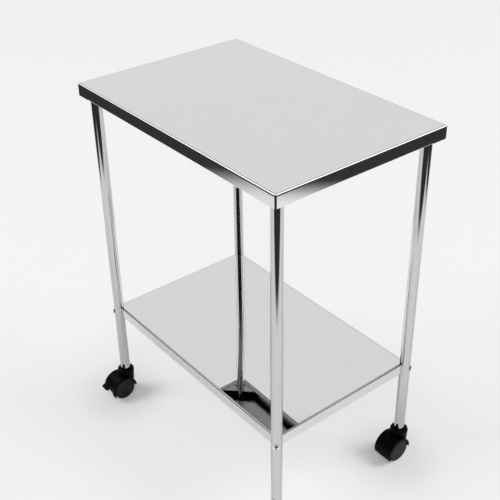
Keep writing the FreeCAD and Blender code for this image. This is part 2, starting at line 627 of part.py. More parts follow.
def brake_pedal(corner):
    """A brake pedal: a boss on its pin, an arm, a curved face in the back of the hood and a tab for the foot."""
    body = new_body(f"brake_pedal_{corner}")
    axle_y, axle_z = "-axle_trail", "wheel_radius"
    disc = new_sketch(body, f"pedal_disc_{corner}", "YZ_Plane")
    circle(disc, "pedal_radius", axle_y, axle_z)
    pad(body, f"pedal_face_{corner}", disc, "pedal_width", symmetric=True)
    hollow = new_sketch(body, f"pedal_hollow_plan_{corner}", "YZ_Plane")
    circle(hollow, "pedal_radius - pedal_thickness", axle_y, axle_z)
    pocket(body, f"pedal_hollow_{corner}", hollow, "2 * pedal_width", symmetric=True)
    rest = new_sketch(body, f"pedal_trim_plan_{corner}", "YZ_Plane")
    outline(rest, [
        (axle_y, axle_z),
        (f"{axle_y} - 2 * hood_radius * cos(pedal_top)", f"{axle_z} + 2 * hood_radius * sin(pedal_top)"),
        (axle_y, f"{axle_z} + 3 * hood_radius"),
        (f"{axle_y} + 3 * hood_radius", f"{axle_z} + 3 * hood_radius"),
        (f"{axle_y} + 3 * hood_radius", f"{axle_z} - 3 * hood_radius"),
        (f"{axle_y} - 3 * hood_radius", f"{axle_z} - 3 * hood_radius"),
        (f"{axle_y} - 2 * hood_radius * cos(pedal_foot)", f"{axle_z} + 2 * hood_radius * sin(pedal_foot)"),
    ])
    pocket(body, f"pedal_trim_{corner}", rest, "2 * pedal_width", symmetric=True)
    arm = new_sketch(body, f"pedal_arm_plan_{corner}", "YZ_Plane")
    into_face = "(pedal_top - 4)"
    inner_radius = "(pedal_radius - pedal_thickness)"
    outline(arm, [
        ("pin_y", "pin_z + pedal_boss / 2"),
        (f"{axle_y} - pedal_radius * cos(pedal_top)", f"{axle_z} + pedal_radius * sin(pedal_top)"),
        (f"{axle_y} - pedal_radius * cos{into_face}", f"{axle_z} + pedal_radius * sin{into_face}"),
        (f"{axle_y} - {inner_radius} * cos{into_face}", f"{axle_z} + {inner_radius} * sin{into_face}"),
        ("pin_y", "pin_z - pedal_boss / 2"),
    ])
    pad(body, f"pedal_arm_{corner}", arm, "pedal_width", symmetric=True)
    boss = new_sketch(body, f"pedal_boss_plan_{corner}", "YZ_Plane")
    circle(boss, "pedal_boss / 2", "pin_y", "pin_z")
    pad(body, f"pedal_boss_{corner}", boss, "pedal_width", symmetric=True)
    upper, lower = f"{axle_z} + tab_rise", f"{axle_z} + tab_rise - pedal_thickness"
    tip = f"{axle_y} - tab_reach"
    neck = new_sketch(body, f"tab_neck_plan_{corner}", "YZ_Plane")
    outline(neck, [
        (f"{axle_y} - tab_root", upper),
        (f"{axle_y} - tab_start", upper),
        (f"{axle_y} - tab_start", lower),
        (f"{axle_y} - tab_root", lower),
    ])
    pad(body, f"tab_neck_{corner}", neck, "pedal_width", symmetric=True)
    tab = new_sketch(body, f"tab_plan_{corner}", "YZ_Plane")
    outline(tab, [
        (f"{axle_y} - tab_start", upper),
        (tip, f"{upper} - tab_fall"),
        (tip, f"{lower} - tab_fall + pedal_thickness / 4"),
        (f"{axle_y} - tab_start", lower),
    ])
    pressed = pad(body, f"tab_{corner}", tab, "tab_width", symmetric=True)
    doc.recompute()
    back = pressed.Shape.BoundBox.YMin
    is_tip = lambda edge: edge.BoundBox.YMax < back + 0.01 and edge.BoundBox.ZLength > 1
    round_edges(body, f"tab_corners_{corner}", pressed, "pedal_thickness", is_tip)
    bore = new_sketch(body, f"pedal_bore_plan_{corner}", "YZ_Plane")
    circle(bore, "pin_diameter / 2 + pin_fit", "pin_y", "pin_z")
    pocket(body, f"pedal_bore_{corner}", bore, "2 * pedal_width", symmetric=True)
    return at_leg(body, corner)


def brake_pin(corner):
    """The pin of a brake pedal, pressed into the cheeks of the web."""
    pin = part("Cylinder", f"brake_pin_{corner}", Radius="pin_diameter / 2", Height="web_thickness")
    side_x, side_y = CORNERS[corner]
    start = f"{side_x} * leg_x - web_thickness / 2"
    return place(pin, start, f"{side_y} * leg_y + pin_y", "pin_z", turn="90", axis=(0, 1, 0))


def caster_axle(corner):
    """A plain steel axle, pressed into the web of the hood."""
    axle = part("Cylinder", f"caster_axle_{corner}", Radius="axle_diameter / 2",
                Height="2 * (wheel_end - face_wall)")
    side_x, side_y = CORNERS[corner]
    start = f"{side_x} * leg_x - (wheel_end - face_wall)"
    return place(axle, start, f"{side_y} * leg_y - axle_trail", "wheel_radius", turn="90", axis=(0, 1, 0))


def at_axle(item, corner, side):
    """Put a wheel piece, made with its face towards +X, on the left or right end of an axle."""
    return at_leg(item, corner, "wheel_radius", y_offset="-axle_trail", turn="0" if side == "right" else "180")


def wheel(corner, side):
    """A moulded wheel: hub, ribs, rim and a crowned face that hides the end of the axle."""
    name = f"{corner}_{side}"
    body = new_body(f"wheel_{name}")
    profile = new_sketch(body, f"wheel_profile_{name}", "XY_Plane")
    bore = "axle_diameter / 2 + axle_fit"
    back_of_face = "wheel_end - face_wall + axle_fit"
    outline(profile, [
        ("wheel_start", bore),
        ("wheel_start", "hub_diameter / 2"),
        ("wheel_end - face_wall", "hub_diameter / 2"),
        ("wheel_end - face_wall", "tread_seat - rim_wall"),
        ("wheel_start + web_gap", "tread_seat - rim_wall"),
        ("wheel_start + web_gap", "tread_seat"),
        ("wheel_end - face_step", "tread_seat"),
        ("wheel_end", "tread_seat - face_step"),
        ("wheel_end + face_crown", "hub_diameter / 2"),
        ("wheel_end + face_crown", "0"),
        (back_of_face, "0"),
        (back_of_face, bore),
    ])
    turned = revolve(body, f"wheel_turned_{name}", profile, "H_Axis")
    rib_plan = new_sketch(body, f"rib_plan_{name}", "YZ_Plane", "wheel_start + 2 * web_gap")
    outline(rib_plan, [
        ("-rib_thickness / 2", "hub_diameter / 2 - 0.5"),
        ("rib_thickness / 2", "hub_diameter / 2 - 0.5"),
        ("rib_thickness / 2", "tread_seat - rim_wall + 0.5"),
        ("-rib_thickness / 2", "tread_seat - rim_wall + 0.5"),
    ])
    rib_length = "wheel_end - face_wall / 2 - (wheel_start + 2 * web_gap)"
    rib = pad(body, f"rib_{name}", rib_plan, rib_length)
    doc.recompute()
    ribs = body.newObject("PartDesign::PolarPattern", f"ribs_{name}")
    ribs.Originals = [rib]
    ribs.Axis = (origin_item(body, "X_Axis"), [""])
    ribs.Angle = 360
    bind(ribs, Occurrences="rib_count")
    body.Tip = ribs
    doc.recompute()
    if ribs.Shape.Volume <= turned.Shape.Volume:
        raise RuntimeError(f"{body.Label}: the ribs add nothing")
    return at_axle(body, corner, side)


def tread(corner, side):
    """The soft tread band on a wheel, with rounded shoulders."""
    name = f"{corner}_{side}"
    body = new_body(f"tread_{name}")
    profile = new_sketch(body, f"tread_profile_{name}", "XY_Plane")
    first, last = "wheel_start + web_gap", "wheel_end - face_step"
    outline(profile, [
        (first, "tread_seat"),
        (first, "wheel_radius"),
        (last, "wheel_radius"),
        (last, "tread_seat"),
    ])
    band = revolve(body, f"tread_band_{name}", profile, "H_Axis")
    doc.recompute()
    half = band.Shape.BoundBox.YMax
    is_shoulder = lambda edge: edge.BoundBox.XLength < 1e-4 and edge.BoundBox.YMax > half - 0.1
    round_edges(body, f"tread_shoulders_{name}", band, "tread_round", is_shoulder)
    return at_axle(body, corner, side)


def build():
    """Every named piece of the table."""
    pieces = [top_shelf(), lower_shelf()]
    for corner in CORNERS:
        pieces += [top_gusset(corner), leg(corner), shelf_saddle(corner)]
    pieces.append(fastener_group("shelf_bolts", [shelf_bolt(corner) for corner in CORNERS]))
    pieces.append(fastener_group("shelf_nuts", [shelf_nut(corner) for corner in CORNERS]))
    for corner in CORNERS:
        pieces += [tube_insert(corner), caster_stem(corner), swivel_washer(corner)]
        pieces += [caster_hood(corner), caster_axle(corner)]
        for side in ("left", "right"):
            pieces += [wheel(corner, side), tread(corner, side)]
        if corner in BRAKED:
            pieces += [brake_pedal(corner), brake_pin(corner)]
    return pieces


def check(pieces):
    """Stop on any failed feature or faulty solid."""
    for item in doc.Objects:
        if "Invalid" in item.State or "Error" in item.State:
            raise RuntimeError(f"{item.Label} failed: {item.State}")
    for piece in pieces:
        if piece.Shape.isNull() or not piece.Shape.isValid():
            raise RuntimeError(f"{piece.Label} has no valid shape")


def write(pieces):
    os.makedirs("parts", exist_ok=True)
    for piece in pieces:
        piece.Shape.exportStep(f"parts/{piece.Label}.step")


table = build()
doc.recompute()
check(table)
write(table)
print(len(table), "pieces written")
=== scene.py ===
import math

import bpy
from bpy.props import FloatProperty, FloatVectorProperty, IntProperty, PointerProperty
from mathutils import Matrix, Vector


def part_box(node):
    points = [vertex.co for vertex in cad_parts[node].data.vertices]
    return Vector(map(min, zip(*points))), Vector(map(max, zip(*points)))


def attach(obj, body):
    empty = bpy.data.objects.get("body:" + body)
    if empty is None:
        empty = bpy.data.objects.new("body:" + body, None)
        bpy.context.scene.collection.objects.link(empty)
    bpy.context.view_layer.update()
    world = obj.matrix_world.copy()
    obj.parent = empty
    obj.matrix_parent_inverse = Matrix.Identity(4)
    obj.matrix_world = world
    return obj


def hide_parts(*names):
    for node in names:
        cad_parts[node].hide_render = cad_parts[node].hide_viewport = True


bl_info = {
    "name": "Hospital auxiliary table",
    "version": (1, 0, 0),
    "blender": (4, 5, 0),
    "location": "View3D > Sidebar > Auxiliary table",
    "description": "Polished steel trays, tube legs and twin wheel casters of a hospital auxiliary table",
    "category": "Object",
}

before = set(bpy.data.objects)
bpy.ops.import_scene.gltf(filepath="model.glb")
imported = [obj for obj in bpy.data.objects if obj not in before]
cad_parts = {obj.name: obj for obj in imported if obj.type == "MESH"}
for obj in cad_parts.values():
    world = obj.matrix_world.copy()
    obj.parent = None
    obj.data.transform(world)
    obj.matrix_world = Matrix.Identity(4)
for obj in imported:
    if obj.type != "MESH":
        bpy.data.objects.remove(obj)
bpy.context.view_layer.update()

CORNERS = ("front_left", "front_right", "back_right", "back_left")
SIDES = ("left", "right")
BRAKED = ("front_left", "front_right")


def centre(name):
    """The middle of a solid of the frame."""
    low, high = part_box(name)
    return (low + high) / 2


def half_size(name):
    """Half the size of a solid of the frame, along each axis."""
    low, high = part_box(name)
    return (high - low) / 2


def leg_axis(corner):
    """The middle of a leg, on the floor."""
    middle = centre(f"leg_{corner}")
    return Vector((middle.x, middle.y, 0))


def axle_centre(corner):
    """The middle of a caster's axle."""
    return centre(f"caster_axle_{corner}")


# Sizes and colours that can be set

def length(name, description, default):
    return FloatProperty(name=name, description=description, default=default, min=0, unit="LENGTH", subtype="DISTANCE",
                         precision=5)


def watts(name, description, default):
    return FloatProperty(name=name, description=description, default=default, min=0, unit="POWER")


def angle(name, description, degrees):
    return FloatProperty(name=name, description=description, default=math.radians(degrees), subtype="ANGLE",
                         unit="ROTATION")


def colour(name, description, default):
    return FloatVectorProperty(name=name, description=description, default=default, size=3, min=0, max=1,
                               subtype="COLOR")


def share(name, description, default):
    return FloatProperty(name=name, description=description, default=default, min=0, soft_max=1, subtype="FACTOR")


class TraySizes(bpy.types.PropertyGroup):
    gauge: length("Sheet gauge", "Thickness of the tray sheet", 0.0012)
    corner_radius: length("Corner radius", "Outside radius of the upright corners", 0.004)
    upper_bend: length("Upper bend", "Outside radius from tray face to apron", 0.0035)
    lower_bend: length("Lower bend", "Outside radius from apron to flange", 0.0015)
    return_flange: length("Return flange", "Width of the flange folded in below the apron", 0.012)
    flange_relief: length("Flange relief", "Distance from a corner where the top tray's flanges start", 0.037)
    leg_clearance: length("Leg clearance", "Gap round a leg in the lower shelf", 0.0003)
    bow: share("Bow", "Slope of the lower shelf's mirror image towards the front corner", 0.0456)
    bow_start: length("Bow start", "Middle of the table to where that slope starts", 0.06)
    bend_steps: IntProperty(name="Bend steps", description="Faces across each bend", default=8, min=2, max=24)


class LegSizes(bpy.types.PropertyGroup):
    wall: length("Tube wall", "Wall of the leg tube", 0.0012)
    facets: IntProperty(name="Tube facets", description="Faces round a tube", default=128, min=24, max=256)
    foot_slot: length("Foot slot", "Width of the slot in the foot of each tube", 0.0055)
    foot_slot_height: length("Foot slot height", "Lower end of a tube to the upper end of its slot", 0.0155)
    bolt_shank: length("Bolt shank", "Diameter of the shelf bolts", 0.006)
    bolt_flange: length("Bolt flange", "Diameter of the flange under the domed bolt heads", 0.0136)
    bolt_flange_height: length("Bolt flange height", "Height of that flange", 0.0009)
    bolt_head: length("Bolt head", "Diameter of the domed bolt heads", 0.0105)
    bolt_head_height: length("Bolt head height", "Height of the bolt heads with their flanges", 0.0033)
    socket_flats: length("Socket", "Width across flats of the sockets in the bolt heads", 0.004)
    socket_depth: length("Socket depth", "Depth of those sockets", 0.002)
    bolt_height: length("Bolt height", "Floor to the axis of the shelf bolts", 0.235)
    bolt_reach: length("Bolt reach", "Leg axis to the inner end of a bolt", 0.0209)


class CasterSizes(bpy.types.PropertyGroup):
    hood_wall: length("Hood wall", "Wall of the hood over the wheels", 0.0035)
    hood_round: length("Hood rims", "Radius of the outer rims of the hood", 0.0015)
    tail_height: length("Tail height", "Lower edge of the hood at its back", 0.013)
    lip_height: length("Lip height", "Lower edge of the hood at its front", 0.0265)
    neck_radius: length("Neck radius", "Radius of the neck at its top", 0.019)
    neck_taper: length("Neck taper", "How much smaller the neck is at its foot", 0.0017)
    neck_foot: length("Neck foot", "Floor to the foot of the neck", 0.038)
    neck_under: length("Neck underside", "Height of the cone under the foot of the neck", 0.012)
    neck_lean: length("Neck lean", "How much that cone narrows", 0.007)
    neck_round: length("Neck shoulder", "Radius round the top of the neck", 0.006)
    recess_gap: length("Recess gap", "Gap round the leg in the neck", 0.0009)
    recess_floor: length("Recess floor", "Floor to the seat of the swivel washer", 0.0692)
    stem_radius: length("Stem bore", "Radius of the bore for the stem", 0.00556)
    stem_seat: length("Stem seat", "Floor to the bottom of the stem bore", 0.046)
    web: length("Web", "Web of the hood between the wheels", 0.011)
    web_gap: length("Web gap", "Gap between the web and a wheel", 0.0005)
    wheel_gap: length("Wheel gap", "Gap between tread and hood", 0.0015)
    hub_radius: length("Hub radius", "Radius of the wheel hub", 0.0075)
    rim_wall: length("Rim wall", "Wall of the wheel rim under the tread", 0.0024)
    face_wall: length("Face wall", "Thickness of the outer face of a wheel", 0.003)
    face_crown: length("Face crown", "How far the face of a wheel bulges", 0.0005)
    face_step: length("Face step", "Depth of the step round the face of a wheel", 0.0008)
    tread_round: length("Tread shoulders", "Radius of the shoulders of the tread", 0.0018)
    bore_gap: length("Bore gap", "Running gap round axles and pins", 0.00008)
    ribs: IntProperty(name="Ribs", description="Ribs behind the face of a wheel", default=6, min=3, max=12)
    rib: length("Rib", "Thickness of the ribs", 0.002)
    facets: IntProperty(name="Caster facets", description="Faces round wheels and hoods", default=128, min=24, max=192)


class BrakeSizes(bpy.types.PropertyGroup):
    pin_back: length("Pin back", "Axle back to the brake pin", 0.009)
    pin_rise: length("Pin rise", "Axle up to the brake pin", 0.0185)
    pin_radius: length("Pin radius", "Radius of the brake pin", 0.00125)
    pedal_width: length("Pedal width", "Width of the pedal between the cheeks of the web", 0.006)
    pedal_gap: length("Pedal gap", "Gap between the pedal and each cheek", 0.0003)
    boss_radius: length("Boss radius", "Radius of the pedal's boss round its pin", 0.0032)
    slot_depth: length("Slot depth", "Axle back to the bottom of the slot", 0.013)
    slot_gap: length("Slot gap", "Gap round the boss in the slot", 0.0016)
    pedal_thickness: length("Pedal thickness", "Thickness of the pedal", 0.003)
    pedal_setback: length("Pedal setback", "Face of the pedal inside the face of the hood", 0.0005)
    pedal_top: angle("Pedal top", "Angle above the axle at which the curved face starts", 45)
    pedal_foot: angle("Pedal foot", "Angle above the axle at which that face ends", 3)
    tab_width: length("Tab width", "Width of the tab that a foot presses", 0.021)
    tab_root: length("Tab root", "Axle back to the root of the tab's neck", 0.0255)
    tab_start: length("Tab start", "Axle back to the start of the tab", 0.0315)
    tab_reach: length("Tab reach", "Axle back to the tip of the tab", 0.0443)
    tab_rise: length("Tab rise", "Upper face of the tab above the axle", 0.0185)
    tab_fall: length("Tab fall", "How far the tab slopes down to its tip", 0.004)
    ridge: length("Ridges", "Radius of the grip ridges across the tab", 0.0007)
    notch_half_width: length("Notch", "Half the width of the notch for the tab", 0.0125)
    notch_top: length("Notch top", "Floor to the upper edge of the notch", 0.035)


class Finishes(bpy.types.PropertyGroup):
    steel: colour("Polished steel", "Reflected colour of the polished sheet and tube", (0.755, 0.76, 0.758))
    zinc: colour("Zinc plating", "Colour of the hidden plated steel", (0.60, 0.61, 0.62))
    moulding: colour("Black nylon", "Colour of the hoods and tube plugs", (0.0018, 0.0018, 0.0020))
    wheel: colour("Wheel nylon", "Colour of the wheels", (0.0025, 0.0025, 0.0026))
    rubber: colour("Tread", "Colour of the treads", (0.009, 0.009, 0.0094))
    sheen: share("Sheen", "How much the black nylon mirrors", 0.06)
    wheel_sheen: share("Wheel sheen", "How much the wheels mirror", 0.33)
    washer: colour("Acetal", "Colour of the swivel washers", (0.70, 0.69, 0.64))
    polish: share("Polish roughness", "Roughness of the polished steel", 0.035)
    shelf_polish: share("Shelf roughness", "Roughness of the lower shelf", 0.012)
    tube: share("Tube tone", "Tone of the tubes against that of the trays", 0.76)
    # The next three heights bound painted lines along the bends: a painted highlight with a painted dark reflection
    # above it on the top tray, and a painted dark reflection on the lower shelf.
    tray_painted_highlight: length("Tray edge", "Height of the bright line along the bends of the top tray", 0.0011)
    tray_painted_dark_line: length("Tray line", "Height of the duller line above that bright line", 0.00025)
    shelf_painted_dark_line: length("Shelf line", "Height of the duller line along the bends of the lower shelf", 0.003)
    # The hidden side of the top tray and the gussets take this colour: an unpolished finish, with painted shade in its
    # darkness.
    mill_and_shade: colour("Mill finish", "Colour of the hidden side of the top tray", (0.28, 0.28, 0.274))
    mill_roughness: share("Mill roughness", "Roughness of that side", 0.2)


class StudioSettings(bpy.types.PropertyGroup):
    paper: colour("Paper", "Colour of the pale floor and background", (0.885, 0.885, 0.88))
    surround: colour("Surround", "What lies beyond the paper, seen only in the steel", (0.035, 0.035, 0.036))
    paper_left: length("Paper left", "Middle of the paper to its left edge", 1.43)
    paper_right: length("Paper right", "Middle of the paper to its right edge", 1.48)
    paper_front: length("Paper front", "Table to the front edge of the paper", 1.07)
    # Lift and Lift near are the share of the floor that the camera sees as a painted glow of the paper's colour, away
    # from the casters and close to them; the glow lightens the floor's shading.
    lift: share("Lift", "How much of the floor's tone in the picture is its own, away from the casters", 0.65)
    near_lift: share("Lift near", "The same close to a caster, where the shadows lie", 0.22)
    fill: share("Fill", "Strength of the even light from all round", 0.39)
    side: watts("Sides", "Power of each softbox beside the table", 610)
    front: watts("Front", "Power of the softbox over the camera", 18)


# Mesh work

NEAR = 1e-6
# How far a tool that cuts stands out past what it cuts.
PAST = 0.01
# Edges sharper than these are rounded and stay sharp in the shading.
SHEET_SHARP = math.radians(50)
TURNED_SHARP = math.radians(40)
MOULDED_SHARP = math.radians(35)
# Turns an upright piece so that it runs along X.
ACROSS = (0, math.radians(90), 0)
# Faces across a small rounding.
ROUND_STEPS = 4


def deselect():
    """Leave edit mode and select nothing."""
    if bpy.context.object and bpy.context.object.mode != "OBJECT":
        bpy.ops.object.mode_set(mode="OBJECT")
    bpy.ops.object.select_all(action="DESELECT")


def only(piece):
    """Make one piece the active and the only selected one."""
    deselect()
    piece.select_set(True)
    bpy.context.view_layer.objects.active = piece
    return piece


def named(name):
    """Name the piece that was just added."""
    piece = bpy.context.object
    piece.name = name
    piece.data.name = name
    return piece


def settle(piece):
    """Put a piece's place, turn and scale into its mesh."""
    only(piece)
    bpy.ops.object.transform_apply(location=True, rotation=True, scale=True)
    return piece


def pick(piece, kind, test):
    """Select, in edit mode, the vertices, edges or faces that pass a test of their points."""
    only(piece)
    bpy.ops.object.mode_set(mode="EDIT")
    bpy.ops.mesh.select_mode(type=kind)
    bpy.ops.mesh.select_all(action="DESELECT")
    bpy.ops.object.mode_set(mode="OBJECT")
    mesh = piece.data
    items = {"VERT": mesh.vertices, "EDGE": mesh.edges, "FACE": mesh.polygons}[kind]
    for item in items:
        points = [item.co] if kind == "VERT" else [mesh.vertices[index].co for index in item.vertices]
        item.select = test(points)
    bpy.ops.object.mode_set(mode="EDIT")


def finish_edit():
    """Go back to object mode after a change in edit mode."""
    bpy.ops.object.mode_set(mode="OBJECT")


def modify(piece, kind, **settings):
    """Add a modifier and apply it."""
    only(piece)
    modifier = piece.modifiers.new(kind.title(), kind)
    for name, value in settings.items():
        setattr(modifier, name, value)
    bpy.ops.object.modifier_apply(modifier=modifier.name)
    return piece


def combine(piece, tool, operation):
    """Join, cut or keep what is common with a tool, and remove the tool."""
    modify(piece, "BOOLEAN", operation=operation, object=tool, solver="EXACT")
    bpy.data.objects.remove(tool)
    return piece


def soften(piece, width, sharp):
    """Round the sharp edges a little and let curved faces shade as one."""
    modify(piece, "BEVEL", width=width, segments=2, limit_method="ANGLE", angle_limit=sharp, miter_outer="MITER_ARC")
    return smooth(piece, sharp)


def smooth(piece, sharp):
    """Let faces shade as one where they meet at less than an angle."""
    only(piece)
    bpy.ops.object.shade_smooth_by_angle(angle=sharp)
    return modify(piece, "WEIGHTED_NORMAL", keep_sharp=True, weight=100)


def divide(piece, place, normal, **settings):
    """Cut a piece along a plane. The settings say which side is dropped, if any."""
    pick(piece, "FACE", lambda points: True)
    bpy.ops.mesh.bisect(plane_co=place, plane_no=normal, **settings)
    finish_edit()


def block(name, low, high):
    """A box between two corners."""
    bpy.ops.mesh.primitive_cube_add(size=1, location=(Vector(low) + Vector(high)) / 2)
    piece = named(name)
    piece.scale = Vector(high) - Vector(low)
    return settle(piece)


def cylinder(name, foot, radius, height, facets, turn=(0, 0, 0), ends="NGON"):
    """A cylinder from the middle of its foot, before it is turned about that point."""
    bpy.ops.mesh.primitive_cylinder_add(vertices=facets, radius=radius, depth=height, end_fill_type=ends,
                                        location=(0, 0, height / 2))
    piece = settle(named(name))
    piece.rotation_euler = turn
    piece.location = foot
    return settle(piece)


def cross_bar(name, middle, radius, width, facets):
    """A cylinder along X, from its middle."""
    return cylinder(name, Vector(middle) - Vector((width / 2, 0, 0)), radius, width, facets, ACROSS)


def prism(name, outline, middle, half_width):
    """A prism that runs along X, from an outline whose corners are pairs of Y and Z."""
    bpy.ops.mesh.primitive_circle_add(vertices=len(outline), radius=0.01, fill_type="NGON")
    piece = settle(named(name))
    for index, (across, up) in enumerate(outline):
        place = piece.data.vertices[index].co.copy()
        pick(piece, "VERT", lambda points: (points[0] - place).length < NEAR)
        bpy.ops.transform.translate(value=Vector((middle - half_width, across, up)) - place)
        finish_edit()
    pick(piece, "FACE", lambda points: True)
    bpy.ops.mesh.extrude_region_move(TRANSFORM_OT_translate={"value": (2 * half_width, 0, 0)})
    bpy.ops.mesh.select_all(action="SELECT")
    bpy.ops.mesh.normals_make_consistent(inside=False)
    finish_edit()
    return piece


def turned(name, stations, facets, place=(0, 0, 0), turn=(0, 0, 0), ring=False):
    """A piece turned about its axis through stations, which are pairs of height along the axis and radius.

    It is solid, with a flat face at its first and last station, or a ring whose last station joins its first."""
    height, radius = stations[0]
    bpy.ops.mesh.primitive_circle_add(vertices=facets, radius=radius, fill_type="NOTHING" if ring else "NGON",
                                      location=(0, 0, height))
    piece = settle(named(name))
    bpy.ops.object.mode_set(mode="EDIT")
    bpy.ops.mesh.select_mode(type="EDGE")
    bpy.ops.mesh.select_all(action="SELECT")
    for next_height, next_radius in stations[1:]:
        bpy.ops.mesh.extrude_region_move(TRANSFORM_OT_translate={"value": (0, 0, next_height - height)})
        ratio = next_radius / radius
        bpy.ops.transform.resize(value=(ratio, ratio, 1), center_override=(0, 0, next_height))
        height, radius = next_height, next_radius
    if ring:
        bpy.ops.mesh.select_all(action="DESELECT")
        bpy.ops.mesh.select_non_manifold(extend=False, use_wire=False, use_boundary=True)
        bpy.ops.mesh.bridge_edge_loops()
    bpy.ops.mesh.select_all(action="SELECT")
    bpy.ops.mesh.normals_make_consistent(inside=False)
    finish_edit()
    piece.rotation_euler = turn
    piece.location = place
    return settle(piece)


def arc(centre_height, centre_radius, radius, start, end, steps):
    """Stations along an arc; angles in degrees, from the outward radius towards the far end of the axis."""
    stations = []
    for step in range(steps + 1):
        turn = math.radians(start + (end - start) * step / steps)
        stations.append((centre_height + radius * math.sin(turn), centre_radius + radius * math.cos(turn)))
    return stations


def drum(start, end, radius, rounding, steps):
    """Stations of a drum with two rounded rims."""
    return (arc(start + rounding, radius - rounding, rounding, -90, 0, steps)
            + arc(end - rounding, radius - rounding, rounding, 0, 90, steps))


def copied(piece, name, shift, half_turn=0.0):
    """A copy with its own mesh, turned about the upright axis and moved by a shift."""
    copy = piece.copy()
    copy.data = piece.data.copy()
    copy.name = name
    copy.data.name = name
    bpy.context.collection.objects.link(copy)
    copy.location = shift
    copy.rotation_euler = (0, 0, half_turn)
    return settle(copy)


def join(piece, other):
    """Make two pieces one mesh."""
    if piece is None:
        return other
    only(piece)
    other.select_set(True)
    bpy.ops.object.join()
    return piece


def dress(piece, material):
    """Give a piece or a solid of the frame one material."""
    for holder in piece.material_slots:
        holder.material = material
    if not piece.material_slots:
        piece.data.materials.append(material)
    return piece


def install(piece, body, node, material):
    """Let a piece stand for a solid of the frame and move with its body."""
    dress(piece, material)
    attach(piece, body)
    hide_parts(node)


# Shaders

def node(tree, kind, links=None, **settings):
    """Add a node, set its properties and feed its inputs with sockets or values."""
    added = tree.nodes.new(kind)
    for name, value in settings.items():
        setattr(added, name, value)
    for key, value in (links or {}).items():
        feed(tree, added.inputs[key], value)
    return added


def feed(tree, socket, value):
    """Link a socket to an input, or set the input to a value; a colour is three values."""
    if isinstance(value, bpy.types.NodeSocket):
        tree.links.new(value, socket)
    else:
        socket.default_value = (*value, 1) if socket.type == "RGBA" else value


def first_node(tree, kind):
    """The first node of a kind that was added to a tree."""
    return next(item for item in tree.nodes if item.bl_idname == kind)


def maths(tree, operation, *values):
    """The result of a Math node, from sockets or values."""
    return node(tree, "ShaderNodeMath", dict(enumerate(values)), operation=operation).outputs["Value"]


def noise(tree, vector, scale, detail, roughness=0.5):
    """A cloudy value between 0 and 1."""
    return node(tree, "ShaderNodeTexNoise", {"Vector": vector, "Scale": scale, "Detail": detail,
                                             "Roughness": roughness}).outputs["Fac"]


def ramp(tree, value, start, end, first=0.0, last=1.0, ease="LINEAR"):
    """A number that goes from the first to the last while a value goes from start to end."""
    return node(tree, "ShaderNodeMapRange", {"Value": value, "From Min": start, "From Max": end, "To Min": first,
                                             "To Max": last}, interpolation_type=ease).outputs["Result"]


def between(tree, factor, first, second, kind="RGBA"):
    """A colour between two colours, or a number between two numbers."""
    return node(tree, "ShaderNodeMix", {"Factor": factor, "A": first, "B": second}, data_type=kind).outputs["Result"]


def shader_between(tree, factor, first, second):
    """A mix of two surfaces or backgrounds."""
    return node(tree, "ShaderNodeMixShader", {0: factor, 1: first, 2: second}).outputs["Shader"]


def scaled(tone, factor):
    """A lighter or darker tone of a colour."""
    return tuple(channel * factor for channel in tone)


def new_group(name, inputs, outputs):
    """A shader node group, with the sockets that it is given and those that it gives back."""
    group = bpy.data.node_groups.new(name, "ShaderNodeTree")
    for label, kind, default in inputs:
        socket = group.interface.new_socket(name=label, in_out="INPUT", socket_type=kind)
        if default is not None:
            socket.default_value = default
    for label in outputs:
        group.interface.new_socket(name=label, in_out="OUTPUT", socket_type="NodeSocketFloat")
    return group, group.nodes.new("NodeGroupInput").outputs, group.nodes.new("NodeGroupOutput").inputs


def polish_marks_group():
    """Fine lines left by polishing along one axis, with soft cloudy wear."""
    group, given, result = new_group(
        "Polish marks",
        [("Vector", "NodeSocketVector", None), ("Line scale", "NodeSocketVector", (60, 2400, 2400)),
         ("Roughness", "NodeSocketFloat", 0.04), ("Spread", "NodeSocketFloat", 0.03)],
        ("Roughness", "Height", "Tone"))
    stretched = node(group, "ShaderNodeVectorMath", {0: given["Vector"], 1: given["Line scale"]},
                     operation="MULTIPLY").outputs["Vector"]
    lines = noise(group, stretched, 1.0, 3.0, 0.6)
    worn = ramp(group, noise(group, given["Vector"], 9.0, 4.0, 0.55), 0.35, 0.75)
    rough = maths(group, "MULTIPLY_ADD", maths(group, "MULTIPLY", lines, worn), given["Spread"], given["Roughness"])
    for label, value in (("Roughness", rough), ("Height", lines), ("Tone", worn)):
        feed(group, result[label], value)
    return group


def moulded_grain_group():
    """The fine pebbled grain of a moulding, with patches that are rubbed smoother."""
    group, given, result = new_group(
        "Moulded grain",
        [("Vector", "NodeSocketVector", None), ("Scale", "NodeSocketFloat", 2200.0),
         ("Roughness", "NodeSocketFloat", 0.45)],
        ("Roughness", "Height", "Rubbed"))
    pebbles = node(group, "ShaderNodeTexVoronoi", {"Vector": given["Vector"], "Scale": given["Scale"]},
                   feature="SMOOTH_F1").outputs["Distance"]
    rubbed = ramp(group, noise(group, given["Vector"], 60.0, 5.0), 0.45, 0.7)
    rough = maths(group, "MULTIPLY_ADD", rubbed, -0.14, given["Roughness"])
    for label, value in (("Roughness", rough), ("Height", pebbles), ("Rubbed", rubbed)):
        feed(group, result[label], value)
    return group


GROUP_MAKERS = {"Polish marks": polish_marks_group, "Moulded grain": moulded_grain_group}


def new_material(name):
    """A material, with its tree, its surface and the sockets of a point's place on its piece."""
    material = bpy.data.materials.new(name)
    material.use_nodes = True
    tree = material.node_tree
    return material, tree, tree.nodes["Principled BSDF"], node(tree, "ShaderNodeTexCoord").outputs["Object"]


